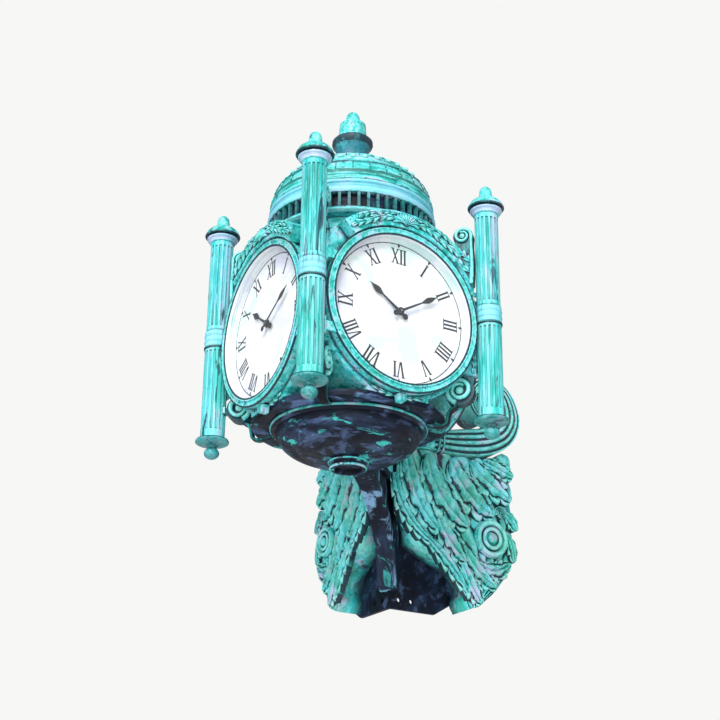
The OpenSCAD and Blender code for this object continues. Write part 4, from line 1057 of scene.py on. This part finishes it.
def dome_trim():
    """Studs, beads and overlapping scales on the dome."""
    b = Build()
    z0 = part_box("dome")[0].z - AZ
    # studs round the shoulder, each with a painted highlight from ridge 1.0
    for i in range(36):
        a = 2 * pi * i / 36
        n = Vector((math.cos(a) * 0.62, math.sin(a) * 0.62, 0.78))
        stud = (AX + 0.545 * math.cos(a), AY + 0.545 * math.sin(a), AZ + z0 + 0.312)
        dome_button(b, stud, n, 0.024, 0.022, 14, ridge=1.0)
    for r, z, w, h in ((0.652, 0.040, 0.022, 0.030), (0.650, 0.104, 0.016, 0.020), (0.606, 0.236, 0.016, 0.018),
                       (0.452, 0.386, 0.018, 0.018), (0.176, 0.505, 0.022, 0.022)):
        revolve(b, round_section(r, z0 + z, w, h), 128)
    b.piece("dome_trim", PATINA_DOME, smooth=60)
    # overlapping scales over the dome between its lower bands and the studs
    side = ((0.651, 0.120), (0.640, 0.160), (0.604, 0.236), (0.540, 0.320), (0.440, 0.394), (0.310, 0.456),
            (0.180, 0.500))
    place = on_turned(smooth_line([(r, z0 + z) for r, z in side], 6))
    b = Build()
    for row, (y0, y1, count) in enumerate(((0.030, 0.125, 30), (0.235, 0.40, 30), (0.36, 0.52, 24))):
        for i in range(count):
            a = 2 * pi * (i + 0.5 * (row % 2)) / count
            w = 0.090 / count * 2.2 * (1 if row < 2 else 0.9)
            leaf(b, place, (a, y0), (a, (y0 + y1) / 2), (a, y1), w, 2, 0.012, 0.004, 0.0, 0.003, 18, 4, sweep=0.0)
    b.piece("dome_leaves", PATINA_DOME, smooth=60)


def drum_recess():
    """A dark sheet behind the vent bars: painted shade for the drum's recess."""
    z = DRUM_Z
    b = Build()
    revolve(b, [(0.618, z - 0.189), (0.6195, z - 0.189), (0.6195, z - 0.063), (0.618, z - 0.063)], 180)
    b.piece("vent_shade_sheet", DARK_PLAIN, "clock", "dark_bronze", smooth=40)


def bowl_trim():
    """Beads on the bowl's rim and on its pendant."""
    z0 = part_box("bowl")[1].z - AZ
    b = Build()
    revolve(b, round_section(0.590, z0 - 0.012, 0.020, 0.022), 128)
    b.piece("bowl_rim_bead", PATINA_SHADED, smooth=60)
    b = Build()
    p0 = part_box("bowl_pendant")[0].z - AZ
    revolve(b, round_section(0.132, p0 + 0.012, 0.024, 0.020), 72)
    revolve(b, round_section(0.148, p0 + 0.056, 0.014, 0.014), 72)
    b.piece("pendant_beads", PATINA, smooth=60)


dome_trim()
drum_recess()
bowl_trim()


# ---- stage

cam_data = bpy.data.cameras.new("camera")
cam = bpy.data.objects.new("camera", cam_data)
bpy.context.scene.collection.objects.link(cam)
bpy.context.scene.camera = cam
# where the photographer stood, and how the camera was held
eye = Vector((AX - 5.118, AY - 8.715, AZ - 4.343))
ahead = Vector((0.47371, 0.79226, 0.38461)).normalized()
right = Vector((0.85617, -0.51660, 0.00962)).normalized()
up = right.cross(ahead)
cam.matrix_world = Matrix(tuple(zip((*right, 0), (*up, 0), (*-ahead, 0), (*eye, 1))))
cam_data.sensor_width = 36
cam_data.lens = 71.0
cam_data.clip_end = 100

me = bpy.data.meshes.new("floor")
FLOOR_HALF, FLOOR_Z = 40.0, -7.0
corners = ((-1, -1), (1, -1), (1, 1), (-1, 1))
me.from_pydata([(i * FLOOR_HALF, j * FLOOR_HALF, FLOOR_Z) for i, j in corners], [], [(0, 1, 2, 3)])
floor = bpy.data.objects.new("floor", me)
bpy.context.scene.collection.objects.link(floor)
me.materials.append(FLOOR)

bpy.context.scene.view_settings.view_transform = "Standard"
world = bpy.data.worlds.new("studio")
bpy.context.scene.world = world
world.use_nodes = True
wt = world.node_tree
bg = wt.nodes["Background"]
bg.inputs[0].default_value = (0.93, 0.95, 1.0, 1)
bg.inputs[1].default_value = 0.46
seen = wt.nodes.new("ShaderNodeBackground")
seen.inputs[0].default_value = (0.93, 0.93, 0.92, 1)
seen.inputs[1].default_value = 1.0
path = wt.nodes.new("ShaderNodeLightPath")
mix = wt.nodes.new("ShaderNodeMixShader")
wt.links.new(path.outputs["Is Camera Ray"], mix.inputs[0])
wt.links.new(bg.outputs[0], mix.inputs[1])
wt.links.new(seen.outputs[0], mix.inputs[2])
wt.links.new(mix.outputs[0], wt.nodes["World Output"].inputs[0])


def lamp(kind, name, toward, strength, size, colour):
    """A light that shines along a direction; size is a sun's angle in degrees or an area's side."""
    d = bpy.data.lights.new(name, kind)
    d.energy, d.color = strength, colour
    if kind == "SUN":
        d.angle = rad(size)
    else:
        d.size = size
    o = bpy.data.objects.new(name, d)
    bpy.context.scene.collection.objects.link(o)
    o.rotation_mode = "QUATERNION"
    o.rotation_quaternion = Vector(toward).to_track_quat("-Z", "Y")
    return o


lamp("SUN", "key", (0.75, 1.0, -0.80), 2.9, 25, (1.0, 0.98, 0.94))
lamp("SUN", "fill", (1.0, 0.35, -0.35), 0.8, 40, (0.90, 0.95, 1.0))
# light from the pavement, on the undersides
below = eye + Vector((-2.0, -1.0, 0.4))
lamp("AREA", "bounce", Vector((AX, AY, AZ - 0.4)) - below, 560, 5.0, (0.96, 0.99, 1.0)).location = below
